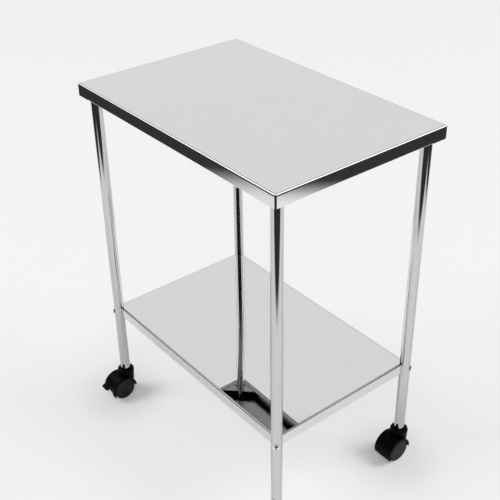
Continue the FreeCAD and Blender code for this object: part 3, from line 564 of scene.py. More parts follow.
def marked_material(name, group_name, given, tone, shades, relief, **looks):
    """A material whose tone, roughness and relief come from a group; relief is a pair of depth and strength."""
    material, tree, surface, position = new_material(name)
    group = bpy.data.node_groups.get(group_name) or GROUP_MAKERS[group_name]()
    marks = node(tree, "ShaderNodeGroup", {"Vector": position, **given}, node_tree=group).outputs
    bump = node(tree, "ShaderNodeBump", {"Height": marks["Height"], "Distance": relief[0], "Strength": relief[1]})
    looks |= {"Base Color": between(tree, marks[tone], *shades), "Roughness": marks["Roughness"],
              "Normal": bump.outputs["Normal"]}
    for key, value in looks.items():
        feed(tree, surface.inputs[key], value)
    return material


def polished_steel(name, line_scale, roughness, spread=0.03, tint=1.0):
    """Mirror polished stainless steel with faint polishing lines."""
    steel = scaled(bpy.context.scene.table_finishes.steel, tint)
    given = {"Line scale": line_scale, "Roughness": roughness, "Spread": spread}
    shades = (steel, scaled(steel, 0.985))
    return marked_material(name, "Polish marks", given, "Tone", shades, (0.0000004, 0.25), Metallic=1.0)


def plate_with_painted_shade(name):
    """Plain unpolished rolled steel of the gussets and saddles, duller than the polished sheet and darkened with
    painted shade.
    """
    finishes = bpy.context.scene.table_finishes
    given = {"Line scale": (60, 1400, 1400), "Roughness": finishes.mill_roughness, "Spread": 0.05}
    # Painted shade: the gussets and saddles get a much darker base colour than the polished steel.
    shades = (scaled(finishes.mill_and_shade, 1.1), finishes.mill_and_shade)
    return marked_material(name, "Polish marks", given, "Tone", shades, (0.000002, 0.3), Metallic=1.0)


def zinc_plate(name):
    """Dull zinc plated steel with a spangled tone."""
    zinc = bpy.context.scene.table_finishes.zinc
    given = {"Line scale": (900, 900, 900), "Roughness": 0.28, "Spread": 0.2}
    shades = (scaled(zinc, 0.8), zinc)
    return marked_material(name, "Polish marks", given, "Height", shades, (0.00002, 0.3), Metallic=1.0)


def moulding(name, base, roughness, grain, depth, sheen=0.5):
    """Moulded plastic or rubber with a fine grain."""
    given = {"Scale": grain, "Roughness": roughness}
    looks = {"Specular IOR Level": sheen}
    return marked_material(name, "Moulded grain", given, "Rubbed", (base, scaled(base, 1.25)), (depth, 0.6), **looks)


def place_on_piece(tree):
    """The X, Y and Z of a point's place on its piece."""
    position = first_node(tree, "ShaderNodeTexCoord").outputs["Object"]
    return node(tree, "ShaderNodeSeparateXYZ", {"Vector": position}).outputs


def overlay(tree, name, mask, value):
    """Give an input of the surface another value where a mask is 1."""
    socket = tree.nodes["Principled BSDF"].inputs[name]
    kind = "RGBA" if socket.type == "RGBA" else "FLOAT"
    feed(tree, socket, between(tree, mask, socket.links[0].from_socket, value, kind))


def dull_inside_with_painted_shade(material, node_name):
    """Leave the hidden side of a tray a little duller, as unpolished sheet is, and darker with painted shade."""
    tree = material.node_tree
    finishes = bpy.context.scene.table_finishes
    place = place_on_piece(tree)
    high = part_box(node_name)[1]
    skin = bpy.context.scene.table_trays.gauge / 2
    inside = maths(tree, "LESS_THAN", place["Z"], high.z - skin)
    for axis, limit in (("X", high.x), ("Y", high.y)):
        away = maths(tree, "ABSOLUTE", place[axis])
        inside = maths(tree, "MULTIPLY", inside, maths(tree, "LESS_THAN", away, limit - skin))
    # Painted shade: the hidden side gets a darker base colour; its roughness below is a real duller finish.
    overlay(tree, "Base Color", inside, finishes.mill_and_shade)
    overlay(tree, "Roughness", inside, finishes.mill_roughness)
    return material


# How far below the flat face of a tray its bends are taken to start.
FACE_DEPTH = 0.00001
# The side of the lower shelf where its mirror image slopes down, and how softly that starts.
BOW_DIRECTION = (0.87, -0.49, 0.0)
BOW_SOFTNESS = 0.12
BOW_FACE_DEPTH = 0.00005


def paint_bend_line(material, node_name, depth, tone):
    """Paint a thin line along the top of a tray's bends in another tone: a painted highlight where the tone is above
    1, a painted dark reflection where it is below.
    """
    tree = material.node_tree
    height = place_on_piece(tree)["Z"]
    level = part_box(node_name)[1].z
    above = maths(tree, "GREATER_THAN", height, level - depth)
    below = maths(tree, "LESS_THAN", height, level - FACE_DEPTH)
    steel = bpy.context.scene.table_finishes.steel
    # Painted highlight or painted dark reflection: the band gets the steel's colour times the tone.
    overlay(tree, "Base Color", maths(tree, "MULTIPLY", above, below), scaled(steel, tone))
    return material


def bowed_mirror(material):
    """Let the face of the lower shelf mirror things as if the sheet bowed down towards its front corner."""
    tree = material.node_tree
    fine = first_node(tree, "ShaderNodeBump")
    position = first_node(tree, "ShaderNodeTexCoord").outputs["Object"]
    trays = bpy.context.scene.table_trays
    reach = node(tree, "ShaderNodeVectorMath", {0: position, 1: BOW_DIRECTION}, operation="DOT_PRODUCT")
    past = maths(tree, "SUBTRACT", reach.outputs["Value"], trays.bow_start)
    fall = maths(tree, "MULTIPLY", maths(tree, "SMOOTH_MAX", past, 0.0, BOW_SOFTNESS), -trays.bow)
    on_face = maths(tree, "GREATER_THAN", place_on_piece(tree)["Z"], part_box("lower_shelf")[1].z - BOW_FACE_DEPTH)
    bow = node(tree, "ShaderNodeBump", {"Height": maths(tree, "MULTIPLY", fall, on_face), "Distance": 1.0,
                                        "Strength": 1.0})
    feed(tree, fine.inputs["Normal"], bow.outputs["Normal"])
    return material


# How fine the polishing lines are along X, Y and Z, and the tones of the painted highlight and painted dark reflection
# lines on the bends against the steel's.
TRAY_LINES = (40, 1800, 1800)
TUBE_LINES = (2000, 2000, 60)
BOLT_LINES = (1500, 1500, 1500)
PAINTED_HIGHLIGHT_TONE = 1.3
PAINTED_DARK_REFLECTION_TONE = 0.25
PAINTED_SHELF_REFLECTION_TONE = 0.5


def tray_polish(name):
    """The top tray: a painted highlight line round its bends with a painted dark reflection line above it, and a
    duller hidden side darkened with painted shade.
    """
    finishes = bpy.context.scene.table_finishes
    material = dull_inside_with_painted_shade(polished_steel(name, TRAY_LINES, finishes.polish), "top_shelf")
    # Painted highlight line along the bends, then a painted dark reflection line over its top.
    paint_bend_line(material, "top_shelf", finishes.tray_painted_highlight, PAINTED_HIGHLIGHT_TONE)
    return paint_bend_line(material, "top_shelf", finishes.tray_painted_dark_line, PAINTED_DARK_REFLECTION_TONE)


def shelf_polish(name):
    """The lower shelf: a bowed mirror with a painted dark reflection line round its bends."""
    finishes = bpy.context.scene.table_finishes
    material = bowed_mirror(polished_steel(name, TRAY_LINES, finishes.shelf_polish, 0.008))
    # Painted dark reflection line along the bends.
    return paint_bend_line(material, "lower_shelf", finishes.shelf_painted_dark_line, PAINTED_SHELF_REFLECTION_TONE)


def finish(key):
    """The material of one finish, made at its first use."""
    if key in bpy.data.materials:
        return bpy.data.materials[key]
    finishes = bpy.context.scene.table_finishes
    makers = {
        "tray_polish": lambda: tray_polish(key),
        "shelf_polish": lambda: shelf_polish(key),
        "gusset_plate": lambda: plate_with_painted_shade(key),
        "tube_polish": lambda: polished_steel(key, TUBE_LINES, finishes.polish + 0.01, tint=finishes.tube),
        "bolt_polish": lambda: polished_steel(key, BOLT_LINES, finishes.polish + 0.03),
        "zinc": lambda: zinc_plate(key),
        "hood_nylon": lambda: moulding(key, finishes.moulding, 0.42, 2600.0, 0.00003, finishes.sheen),
        "wheel_nylon": lambda: moulding(key, finishes.wheel, 0.5, 2600.0, 0.00003, finishes.wheel_sheen),
        "tread_rubber": lambda: moulding(key, finishes.rubber, 0.75, 1500.0, 0.00006),
        "acetal": lambda: moulding(key, finishes.washer, 0.35, 1800.0, 0.00001),
    }
    return makers[key]()


# Trays

CUT_EDGE = 0.00012
NOTCH_FACETS = 96


def open_block(name, low, high):
    """A block with no underside."""
    tray = block(name, low, high)
    pick(tray, "FACE", lambda points: all(point.z < low.z + NEAR for point in points))
    bpy.ops.mesh.delete(type="FACE")
    finish_edit()
    return tray


def bend(tray, radius, steps, test):
    """Round the edges that pass a test, as a folded sheet is round at its bends."""
    pick(tray, "EDGE", test)
    bpy.ops.mesh.bevel(offset=radius, segments=steps, affect="EDGES", clamp_overlap=False)
    finish_edit()


def top_tray_skin(low, high, sizes):
    """The outer skin of the top tray. Its flanges stop short of the corners, where the gussets are."""
    tray = open_block("top_tray", low, high)
    bend(tray, sizes.corner_radius, sizes.bend_steps, lambda points: abs(points[0].z - points[1].z) > NEAR)
    bend(tray, sizes.upper_bend, sizes.bend_steps, lambda points: all(point.z > high.z - NEAR for point in points))
    stops = (high.x - sizes.flange_relief, high.y - sizes.flange_relief)
    for axis, stop in enumerate(stops):
        for sign in (-1, 1):
            place, normal = [0, 0, 0], [0, 0, 0]
            place[axis], normal[axis] = sign * stop, 1
            divide(tray, place, normal)
    for axis, side in enumerate((high.x, high.y)):
        along = 1 - axis
        for sign in (-1, 1):
            def is_foot(points):
                return all(point.z < low.z + NEAR and abs(point[axis] - sign * side) < NEAR
                           and abs(point[along]) < stops[along] + NEAR for point in points)
            inward = [0, 0, 0]
            inward[axis] = -sign * sizes.return_flange
            pick(tray, "EDGE", is_foot)
            bpy.ops.mesh.extrude_region_move(TRANSFORM_OT_translate={"value": inward})
            finish_edit()
            bend(tray, sizes.lower_bend, sizes.bend_steps, is_foot)
    return tray


def lower_tray_skin(low, high, sizes):
    """The outer skin of the lower shelf, before its corners are notched for the legs."""
    tray = open_block("lower_tray", low, high)
    middle = (low + high) / 2
    half = (high - low) / 2

    def is_foot(points):
        return all(point.z < low.z + NEAR and (abs(abs(point.x - middle.x) - half.x) < NEAR
                                               or abs(abs(point.y - middle.y) - half.y) < NEAR) for point in points)
    pick(tray, "EDGE", is_foot)
    bpy.ops.mesh.extrude_region_move(TRANSFORM_OT_translate={"value": (0, 0, 0)})
    inward = (1 - sizes.return_flange / half.x, 1 - sizes.return_flange / half.y, 1)
    bpy.ops.transform.resize(value=inward, center_override=(middle.x, middle.y, low.z))
    finish_edit()
    bend(tray, sizes.lower_bend, sizes.bend_steps, is_foot)
    bend(tray, sizes.upper_bend, sizes.bend_steps, lambda points: all(point.z > high.z - NEAR for point in points))
    return tray


def thicken(tray, gauge):
    """Give a skin the gauge of its sheet, inwards."""
    return modify(tray, "SOLIDIFY", thickness=gauge, offset=-1, use_even_offset=True)


class TABLE_OT_trays(bpy.types.Operator):
    """Fold the top tray and the notched lower shelf from polished sheet"""
    bl_idname = "table.trays"
    bl_label = "Trays"

    def execute(self, context):
        sizes = context.scene.table_trays
        top = thicken(top_tray_skin(*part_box("top_shelf"), sizes), sizes.gauge)
        soften(top, CUT_EDGE, SHEET_SHARP)
        install(top, "table", "top_shelf", finish("tray_polish"))

        low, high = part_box("lower_shelf")
        shelf = thicken(lower_tray_skin(low, high, sizes), sizes.gauge)
        radius = half_size("leg_front_left").x + sizes.leg_clearance
        for corner in CORNERS:
            foot = leg_axis(corner) + Vector((0, 0, low.z - PAST))
            notch = cylinder("notch", foot, radius, high.z - low.z + 2 * PAST, NOTCH_FACETS)
            combine(shelf, notch, "DIFFERENCE")
        soften(shelf, CUT_EDGE, SHEET_SHARP)
        install(shelf, "table", "lower_shelf", finish("shelf_polish"))
        return {"FINISHED"}


# Legs

# Turn of the slot in each tube's foot, from the front of the table.
FOOT_SLOTS = {"front_left": math.radians(41), "front_right": math.radians(25), "back_right": math.radians(18),
              "back_left": math.radians(25)}
TUBE_EDGE = 0.0003
# How much of a slot's half width its rounded end takes, and the faces round that end.
SLOT_ROUND = 0.98
SLOT_STEPS = 6


class TABLE_OT_legs(bpy.types.Operator):
    """Draw the four polished tube legs"""
    bl_idname = "table.legs"
    bl_label = "Legs"

    def execute(self, context):
        sizes = context.scene.table_legs
        low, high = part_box("leg_front_left")
        radius = (high.x - low.x) / 2
        first = leg_axis("front_left")
        tube = cylinder("tube", first + Vector((0, 0, low.z)), radius, high.z - low.z, sizes.facets, ends="NOTHING")
        thicken(tube, sizes.wall)
        soften(tube, TUBE_EDGE, SHEET_SHARP)
        half, top = sizes.foot_slot / 2, sizes.foot_slot_height
        for corner in CORNERS:
            leg = copied(tube, f"tube_{corner}", leg_axis(corner) - first)
            slot = block("slot", (-half, -1.5 * radius, -PAST), (half, 0, top))
            bend(slot, half * SLOT_ROUND, SLOT_STEPS,
                 lambda points: all(abs(point.z - top) < NEAR for point in points)
                 and abs(points[0].x - points[1].x) < NEAR)
            slot.rotation_euler = (0, 0, FOOT_SLOTS[corner])
            slot.location = leg_axis(corner) + Vector((0, 0, low.z))
            combine(leg, settle(slot), "DIFFERENCE")
            smooth(leg, SHEET_SHARP)
            install(leg, "table", f"leg_{corner}", finish("tube_polish"))
        bpy.data.objects.remove(tube)
        return {"FINISHED"}


BOLT_EDGE = 0.00008
BOLT_ROUND = 0.0003
BOLT_CHAMFER = 0.0006
BOLT_FACETS = 64
DOME_STEPS = 14


class TABLE_OT_bolts(bpy.types.Operator):
    """Turn the four domed bolts that hold the legs to the lower shelf"""
    bl_idname = "table.bolts"
    bl_label = "Shelf bolts"

    def execute(self, context):
        sizes = context.scene.table_legs
        leg_radius = half_size("leg_front_left").x
        shank, head, flange = sizes.bolt_shank / 2, sizes.bolt_head / 2, sizes.bolt_flange / 2
        rim = leg_radius + sizes.bolt_flange_height
        top = leg_radius + sizes.bolt_head_height
        stations = [(-sizes.bolt_reach, shank - BOLT_CHAMFER), (BOLT_CHAMFER - sizes.bolt_reach, shank),
                    (leg_radius, shank), (leg_radius, flange - BOLT_ROUND), (leg_radius + BOLT_ROUND, flange),
                    (rim - BOLT_ROUND, flange)]
        stations += arc(rim - BOLT_ROUND, flange - BOLT_ROUND, BOLT_ROUND, 20, 90, ROUND_STEPS)
        dome = (head ** 2 + (top - rim) ** 2) / (2 * (top - rim))
        spread = math.degrees(math.asin(head / dome))
        stations += arc(top - dome, 0, dome, 90 - spread, 88, DOME_STEPS)
        bolts = None
        for corner in CORNERS:
            axis = leg_axis(corner)
            # Each bolt points away from the table, at 45 degrees to its sides.
            outward = math.radians(round((math.degrees(math.atan2(axis.y, axis.x)) - 45) / 90) * 90 + 45)
            turn = (0, math.radians(90), outward)
            place = axis + Vector((0, 0, sizes.bolt_height))
            bolt = turned(f"shelf_bolt_{corner}", stations, BOLT_FACETS, place, turn)
            facing = Vector((math.cos(outward), math.sin(outward), 0))
            bottom = place + facing * (top - sizes.socket_depth)
            across = sizes.socket_flats / math.sqrt(3)
            combine(bolt, cylinder("socket", bottom, across, 2 * sizes.socket_depth, 6, turn), "DIFFERENCE")
            soften(bolt, BOLT_EDGE, TURNED_SHARP)
            bolts = join(bolts, bolt)
        install(bolts, "table", "shelf_bolts", finish("bolt_polish"))
        return {"FINISHED"}


FITTING_FINISHES = {"top_gusset": "gusset_plate", "shelf_saddle": "gusset_plate", "tube_insert": "hood_nylon",
                    "caster_stem": "zinc", "caster_axle": "zinc", "swivel_washer": "acetal"}


class TABLE_OT_frame_fittings(bpy.types.Operator):
    """Give the gussets, saddles, plugs, stems and other solids their finishes"""
    bl_idname = "table.frame_fittings"
    bl_label = "Gussets and fittings"

    def execute(self, context):
        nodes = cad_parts
        for corner in CORNERS:
            for kind, key in FITTING_FINISHES.items():
                dress(nodes[f"{kind}_{corner}"], finish(key))
        for corner in BRAKED:
            dress(nodes[f"brake_pin_{corner}"], finish("zinc"))
        dress(nodes["shelf_nuts"], finish("zinc"))
        return {"FINISHED"}


# Casters

HOOD_EDGE = 0.00025
PEDAL_EDGE = 0.0003
WHEEL_EDGE = 0.00015
HOOD_STEPS = 5
NECK_STEPS = 12
SEAT_FACETS = 96
BORE_FACETS = 48
PIN_FACETS = 32
RIDGE_FACETS = 16
# Where the grip ridges lie on the slope of a brake tab, and how far from its sides they end.
RIDGES = (0.3, 0.55, 0.8)
RIDGE_MARGIN = 0.003
# How much of its radius a ridge sinks into the tab, and the thickness of the tab's tip against that of the pedal.
RIDGE_SINK = 0.4
TIP_SHARE = 0.75
TIP_STEPS = 6
# Angle by which a pedal's arm is lower than the top of its curved face.
ARM_ANGLE = math.radians(4)


def bare_hood(corner, sizes):
    """A caster's hood: a drum over both wheels, joined to a round neck, cut open below."""
    low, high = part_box(f"caster_hood_{corner}")
    axle = axle_centre(corner)
    radius, half = axle.y - low.y, (high.x - low.x) / 2
    shell = drum(-half, half, radius, sizes.hood_round, HOOD_STEPS)
    hood = turned(f"hood_{corner}", shell, sizes.facets, axle, ACROSS)
    shoulder = high.z - sizes.neck_round
    foot_radius = sizes.neck_radius - sizes.neck_taper
    stations = [(sizes.neck_foot - sizes.neck_under, foot_radius - sizes.neck_lean), (sizes.neck_foot, foot_radius)]
    stations += arc(shoulder, sizes.neck_radius - sizes.neck_round, sizes.neck_round, 2, 90, NECK_STEPS)
    combine(hood, turned("neck", stations, sizes.facets, leg_axis(corner)), "UNION")
    rise = (sizes.lip_height - sizes.tail_height) / (2 * radius)
    divide(hood, (axle.x, axle.y - radius, sizes.tail_height), (0, -rise, 1), use_fill=True, clear_inner=True)
    return hood


def hollow_hood(hood, corner, sizes):
    """Cut the two wells for the wheels, the axle hole, and the seat for the plug, washer and stem."""
    axle = axle_centre(corner)
    low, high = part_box(f"caster_hood_{corner}")
    well = axle.y - low.y - sizes.hood_wall
    depth = high.x - low.x
    for sign in (-1, 1):
        start = axle + Vector((sizes.web / 2 if sign > 0 else -sizes.web / 2 - depth, 0, 0))
        combine(hood, cylinder("well", start, well, depth, sizes.facets, ACROSS), "DIFFERENCE")
    hole = half_size(f"caster_axle_{corner}").z
    combine(hood, cross_bar("axle_hole", axle, hole, 2 * sizes.web, BORE_FACETS), "DIFFERENCE")
    recess = half_size(f"leg_{corner}").x + sizes.recess_gap
    seat = [(sizes.stem_seat, sizes.stem_radius), (sizes.recess_floor, sizes.stem_radius),
            (sizes.recess_floor, recess), (high.z + PAST, recess)]
    return combine(hood, turned("seat", seat, SEAT_FACETS, leg_axis(corner)), "DIFFERENCE")


def brake_pin(corner, brake):
    """The middle of a brake's pin."""
    return axle_centre(corner) + Vector((0, -brake.pin_back, brake.pin_rise))


def cut_brake_slots(hood, corner, sizes, brake):
    """The slot in the web for the pedal, its pin hole, and the notch for the tab behind the wheels."""
    axle, pin = axle_centre(corner), brake_pin(corner, brake)
    clear = brake.boss_radius + brake.slot_gap
    bottom = axle.y - brake.slot_depth
    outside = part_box(f"caster_hood_{corner}")[0].y - PAST
    slot = [(bottom, -PAST), (outside, -PAST), (outside, pin.z + clear), (pin.y + clear, pin.z + clear),
            (pin.y + clear, pin.z - clear), (bottom, pin.z - clear - brake.slot_depth / 2)]
    combine(hood, prism("slot", slot, axle.x, brake.pedal_width / 2 + brake.pedal_gap), "DIFFERENCE")
    combine(hood, cross_bar("pin_hole", pin, brake.pin_radius, 2 * sizes.web, PIN_FACETS), "DIFFERENCE")
    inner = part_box(f"tread_{corner}_left")[0].y + sizes.wheel_gap
    notch = block("notch", (axle.x - brake.notch_half_width, outside, -PAST),
                  (axle.x + brake.notch_half_width, inner, brake.notch_top))
    return combine(hood, notch, "DIFFERENCE")


def pedal_radius(corner, brake):
    """The outer radius of a pedal's curved face, about the axle."""
    return axle_centre(corner).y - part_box(f"caster_hood_{corner}")[0].y - brake.pedal_setback


def pedal_face(corner, sizes, brake):
    """The curved face of a pedal, a piece of a ring round the axle."""
    axle, outer, width = axle_centre(corner), pedal_radius(corner, brake), brake.pedal_width
    face = cross_bar(f"pedal_{corner}", axle, outer, width, sizes.facets)
    start = axle - Vector((width / 2 + PAST, 0, 0))
    inside = cylinder("inside", start, outer - brake.pedal_thickness, 3 * PAST, sizes.facets, ACROSS)
    combine(face, inside, "DIFFERENCE")
    for bound, keep_below in ((brake.pedal_top, True), (brake.pedal_foot, False)):
        divide(face, axle, (0, math.sin(bound), math.cos(bound)), use_fill=True, clear_outer=keep_below,
               clear_inner=not keep_below)
    return face


def mould_pedal(corner, sizes, brake):
    """A brake pedal: the boss on its pin, an arm, the curved face in the back of the hood and a ridged tab."""
    axle, pin = axle_centre(corner), brake_pin(corner, brake)
    pedal = pedal_face(corner, sizes, brake)
    outer = pedal_radius(corner, brake)
    inner = outer - brake.pedal_thickness
    half = brake.pedal_width / 2

    def on_face(radius, bound):
        return axle.y - radius * math.cos(bound), axle.z + radius * math.sin(bound)
    lower = brake.pedal_top - ARM_ANGLE
    arm = [(pin.y, pin.z + brake.boss_radius), on_face(outer, brake.pedal_top), on_face(outer, lower),
           on_face(inner, lower), (pin.y, pin.z - brake.boss_radius)]
    combine(pedal, prism("arm", arm, axle.x, half), "UNION")
    combine(pedal, cross_bar("boss", pin, brake.boss_radius, brake.pedal_width, BORE_FACETS), "UNION")
    top = axle.z + brake.tab_rise
    under = top - brake.pedal_thickness
    root, start, tip = axle.y - brake.tab_root, axle.y - brake.tab_start, axle.y - brake.tab_reach
    neck = [(root, top), (start - NEAR, top), (start - NEAR, under), (root, under)]
    combine(pedal, prism("tab_neck", neck, axle.x, half), "UNION")
    end = top - brake.tab_fall
    slab = [(start, top), (tip, end), (tip, end - TIP_SHARE * brake.pedal_thickness), (start, under)]
    tab = prism("tab", slab, axle.x, brake.tab_width / 2)
    bend(tab, brake.pedal_thickness, TIP_STEPS, lambda points: all(point.y < tip + NEAR for point in points)
         and abs(points[0].x - points[1].x) < NEAR)
    for part in RIDGES:
        place = (axle.x, start + part * (tip - start), top - part * brake.tab_fall - RIDGE_SINK * brake.ridge)
        combine(tab, cross_bar("ridge", place, brake.ridge, brake.tab_width - 2 * RIDGE_MARGIN, RIDGE_FACETS), "UNION")
    combine(pedal, tab, "UNION")
    bore = cross_bar("bore", pin, brake.pin_radius + sizes.bore_gap, 2 * sizes.web, PIN_FACETS)
    return combine(pedal, bore, "DIFFERENCE")


CROWN_STEPS = 10
# Space inside the step of a wheel's face, and the radius of the flat in its middle.
CROWN_MARGIN = 0.0012
CROWN_FLAT = 0.0008


def wheel_stations(sizes, start, end, seat, bore, axle_end):
    """The section of a wheel: blind bore, hub, back of the face, rim and crowned face."""
    inside = seat - sizes.rim_wall
    shoulder = end - sizes.face_crown
    back = shoulder - sizes.face_wall
    edge = shoulder - sizes.face_step
    stations = [(axle_end, bore), (start, bore), (start, sizes.hub_radius), (back, sizes.hub_radius), (back, inside),
                (start + sizes.web_gap, inside), (start + sizes.web_gap, seat), (edge, seat)]
    stations += arc(edge, seat - sizes.face_step, sizes.face_step, 20, 80, ROUND_STEPS)
    for step in range(CROWN_STEPS + 1):
        part = 1 - step / CROWN_STEPS
        radius = max(part * (seat - sizes.face_step - CROWN_MARGIN), CROWN_FLAT)
        stations.append((shoulder + sizes.face_crown * (1 - part ** 2), radius))
    return stations


class TABLE_OT_hoods(bpy.types.Operator):
    """Mould the four caster hoods"""
    bl_idname = "table.hoods"
    bl_label = "Caster hoods"

    def execute(self, context):
        sizes, brake = context.scene.table_casters, context.scene.table_brakes
        for corner in CORNERS:
            hood = hollow_hood(bare_hood(corner, sizes), corner, sizes)
            if corner in BRAKED:
                cut_brake_slots(hood, corner, sizes, brake)
            soften(hood, HOOD_EDGE, MOULDED_SHARP)
            install(hood, f"caster_{corner}", f"caster_hood_{corner}", finish("hood_nylon"))
        return {"FINISHED"}


class TABLE_OT_pedals(bpy.types.Operator):
    """Mould the brake pedals of the front casters"""
    bl_idname = "table.pedals"
    bl_label = "Brake pedals"

    def execute(self, context):
        for corner in BRAKED:
            pedal = mould_pedal(corner, context.scene.table_casters, context.scene.table_brakes)
            soften(pedal, PEDAL_EDGE, MOULDED_SHARP)
            install(pedal, f"brake_{corner}", f"brake_pedal_{corner}", finish("hood_nylon"))
        return {"FINISHED"}


# How deep the ribs of a wheel sink into its hub and rim.
RIB_OVERLAP = 0.0005
SHOULDER_STEPS = 8


def ribbed_wheel(sizes, axle):
    """The wheel on the right end of an axle, with its ribs, about the axle's middle."""
    low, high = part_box("wheel_front_left_right")
    start, end, seat = low.x - axle.x, high.x - axle.x, (high.z - low.z) / 2
    bore = half_size("caster_axle_front_left").z + sizes.bore_gap
    axle_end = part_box("caster_axle_front_left")[1].x - axle.x + sizes.bore_gap
    stations = wheel_stations(sizes, start, end, seat, bore, axle_end)
    wheel = turned("wheel", stations, sizes.facets, turn=ACROSS)
    back = end - sizes.face_crown - sizes.face_wall / 2
    for number in range(sizes.ribs):
        rib = block("rib", (start + 2 * sizes.web_gap, -sizes.rib / 2, sizes.hub_radius - RIB_OVERLAP),
                    (back, sizes.rib / 2, seat - sizes.rim_wall + RIB_OVERLAP))
        rib.rotation_euler = (2 * math.pi * number / sizes.ribs, 0, 0)
        combine(wheel, settle(rib), "UNION")
    return soften(wheel, WHEEL_EDGE, TURNED_SHARP), seat


def tread_band(sizes, axle, seat):
    """The tread of that wheel."""
    low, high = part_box("tread_front_left_right")
    first, last, radius = low.x - axle.x, high.x - axle.x, (high.z - low.z) / 2
    stations = [(first, seat), *drum(first, last, radius, sizes.tread_round, SHOULDER_STEPS), (last, seat)]
    return smooth(turned("tread", stations, sizes.facets, turn=ACROSS, ring=True), TURNED_SHARP)


class TABLE_OT_wheels(bpy.types.Operator):
    """Turn a wheel and its tread, and copy them to both ends of every axle"""
    bl_idname = "table.wheels"
    bl_label = "Wheels and treads"

    def execute(self, context):
        sizes = context.scene.table_casters
        axle = axle_centre("front_left")
        wheel, seat = ribbed_wheel(sizes, axle)
        tread = tread_band(sizes, axle, seat)
        for corner in CORNERS:
            for side in SIDES:
                where = axle_centre(corner)
                half_turn = 0 if side == "right" else math.pi
                body, end_name = f"wheel_{corner}_{side}", f"{corner}_{side}"
                install(copied(wheel, f"moulded_wheel_{end_name}", where, half_turn), body, f"wheel_{end_name}",
                        finish("wheel_nylon"))
                install(copied(tread, f"tread_band_{end_name}", where, half_turn), body, f"tread_{end_name}",
                        finish("tread_rubber"))
        bpy.data.objects.remove(wheel)
        bpy.data.objects.remove(tread)
        return {"FINISHED"}


# Studio

CAMERA_PLACE = (1.2360, -0.9876, 1.4511)
CAMERA_TURN = (math.radians(57.902), math.radians(0.807), math.radians(51.182))
CAMERA_LENS = 66.1
CAMERA_AZIMUTH = math.atan2(CAMERA_PLACE[1], CAMERA_PLACE[0])
FLOOR_SIZE = 40
# How far the paper runs on behind the table, and how soft its edges are across and along the camera's direction.
PAPER_BACK = 30
SOFT_ACROSS = 0.11
SOFT_ALONG = 0.12
# Distance to the nearest axle at which the floor's painted glow starts to rise, and at which it is full.
NEAR_CASTER = 0.045
FAR_FROM_CASTER = 0.14

# What the steel sees round the table. Each row has a start and end in degrees from the camera's direction, a bottom
# and top as heights on a sphere of radius 1, and a strength. A row covers those above it.
SURROUNDINGS = (
    (126, 230, -1.0, 0.52, 0.87),  # wall behind the table
    (163, 230, -1.0, 0.76, 0.87),  # its higher middle
    (46, 74, 0.20, 0.80, 1.25),  # softboxes to the sides of the camera
    (84, 140, 0.45, 0.86, 1.6),  # softboxes beside the table
    (38, 126, -1.0, 0.20, 0.10),  # dim lower part of the room
    (-60, 230, 0.92, 1.5, 1.1),  # ceiling
    (-60, 38, -1.0, 0.80, 0.008),  # dark opening for the camera
)
ROOM = 0.03
SOFT_TURN = 0.05
SOFT_LIFT = 0.03

# Turn of the softboxes beside the table from the camera's direction, then distance, height and size of those two and
# of the one over the camera.
SIDE_TURN = math.radians(88)
SIDE_BOX = (8.2, 7.8, 5.5)
FRONT_BOX = (2.4, 2.8, 1.6)


def band(tree, value, start, end, soft):
    """A mask that is 1 between two values, with soft ends."""
    rise = ramp(tree, value, start - soft, start + soft, ease="SMOOTHSTEP")
    fall = ramp(tree, value, end - soft, end + soft, 1.0, 0.0, ease="SMOOTHSTEP")
    return maths(tree, "MULTIPLY", rise, fall)


def towards_camera(tree, vector):
    """A vector turned so that its X runs from the table towards the camera."""
    mapping = node(tree, "ShaderNodeMapping", {"Vector": vector, "Rotation": (0, 0, -CAMERA_AZIMUTH)})
    return node(tree, "ShaderNodeSeparateXYZ", {"Vector": mapping.outputs["Vector"]}).outputs


def paper_floor(settings):
    """Pale paper. Only steel sees that it ends, as polished metal does in a studio. The camera sees part of it as a
    painted glow of the paper's colour, which lightens its shading, less so near the casters, where their shadows stay
    darker.
    """
    material, tree, surface, position = new_material("floor_paper")
    along = towards_camera(tree, position)
    across_paper = band(tree, along["Y"], -settings.paper_left, settings.paper_right, SOFT_ACROSS)
    along_paper = band(tree, along["X"], -PAPER_BACK, settings.paper_front, SOFT_ALONG)
    outside = maths(tree, "SUBTRACT", 1.0, maths(tree, "MULTIPLY", across_paper, along_paper))
    path = node(tree, "ShaderNodeLightPath").outputs
    fibres = noise(tree, position, 3.0, 6.0)
    paper = between(tree, fibres, scaled(settings.paper, 0.995), scaled(settings.paper, 1.005))
    beyond = maths(tree, "MULTIPLY", outside, path["Is Glossy Ray"])
    looks = {"Base Color": between(tree, beyond, paper, settings.surround), "Roughness": 0.9,
             "Specular IOR Level": 0.0}
    for key, value in looks.items():
        feed(tree, surface.inputs[key], value)
    near = FAR_FROM_CASTER
    for corner in CORNERS:
        middle = axle_centre(corner)
        away = node(tree, "ShaderNodeVectorMath", {0: position, 1: (middle.x, middle.y, 0)}, operation="DISTANCE")
        near = maths(tree, "MINIMUM", near, away.outputs["Value"])
    # Painted glow: an emission of the paper's colour for camera rays, weaker near the casters, so it lightens the
    # shadows of the trays more than those of the casters.
    glow_share = ramp(tree, near, NEAR_CASTER, FAR_FROM_CASTER, settings.near_lift, settings.lift, ease="SMOOTHSTEP")
    painted_glow = node(tree, "ShaderNodeEmission", {"Color": paper, "Strength": 1.0}).outputs["Emission"]
    seen = maths(tree, "MULTIPLY", path["Is Camera Ray"], glow_share)
    lifted = shader_between(tree, seen, surface.outputs["BSDF"], painted_glow)
    feed(tree, first_node(tree, "ShaderNodeOutputMaterial").inputs["Surface"], lifted)
    return material


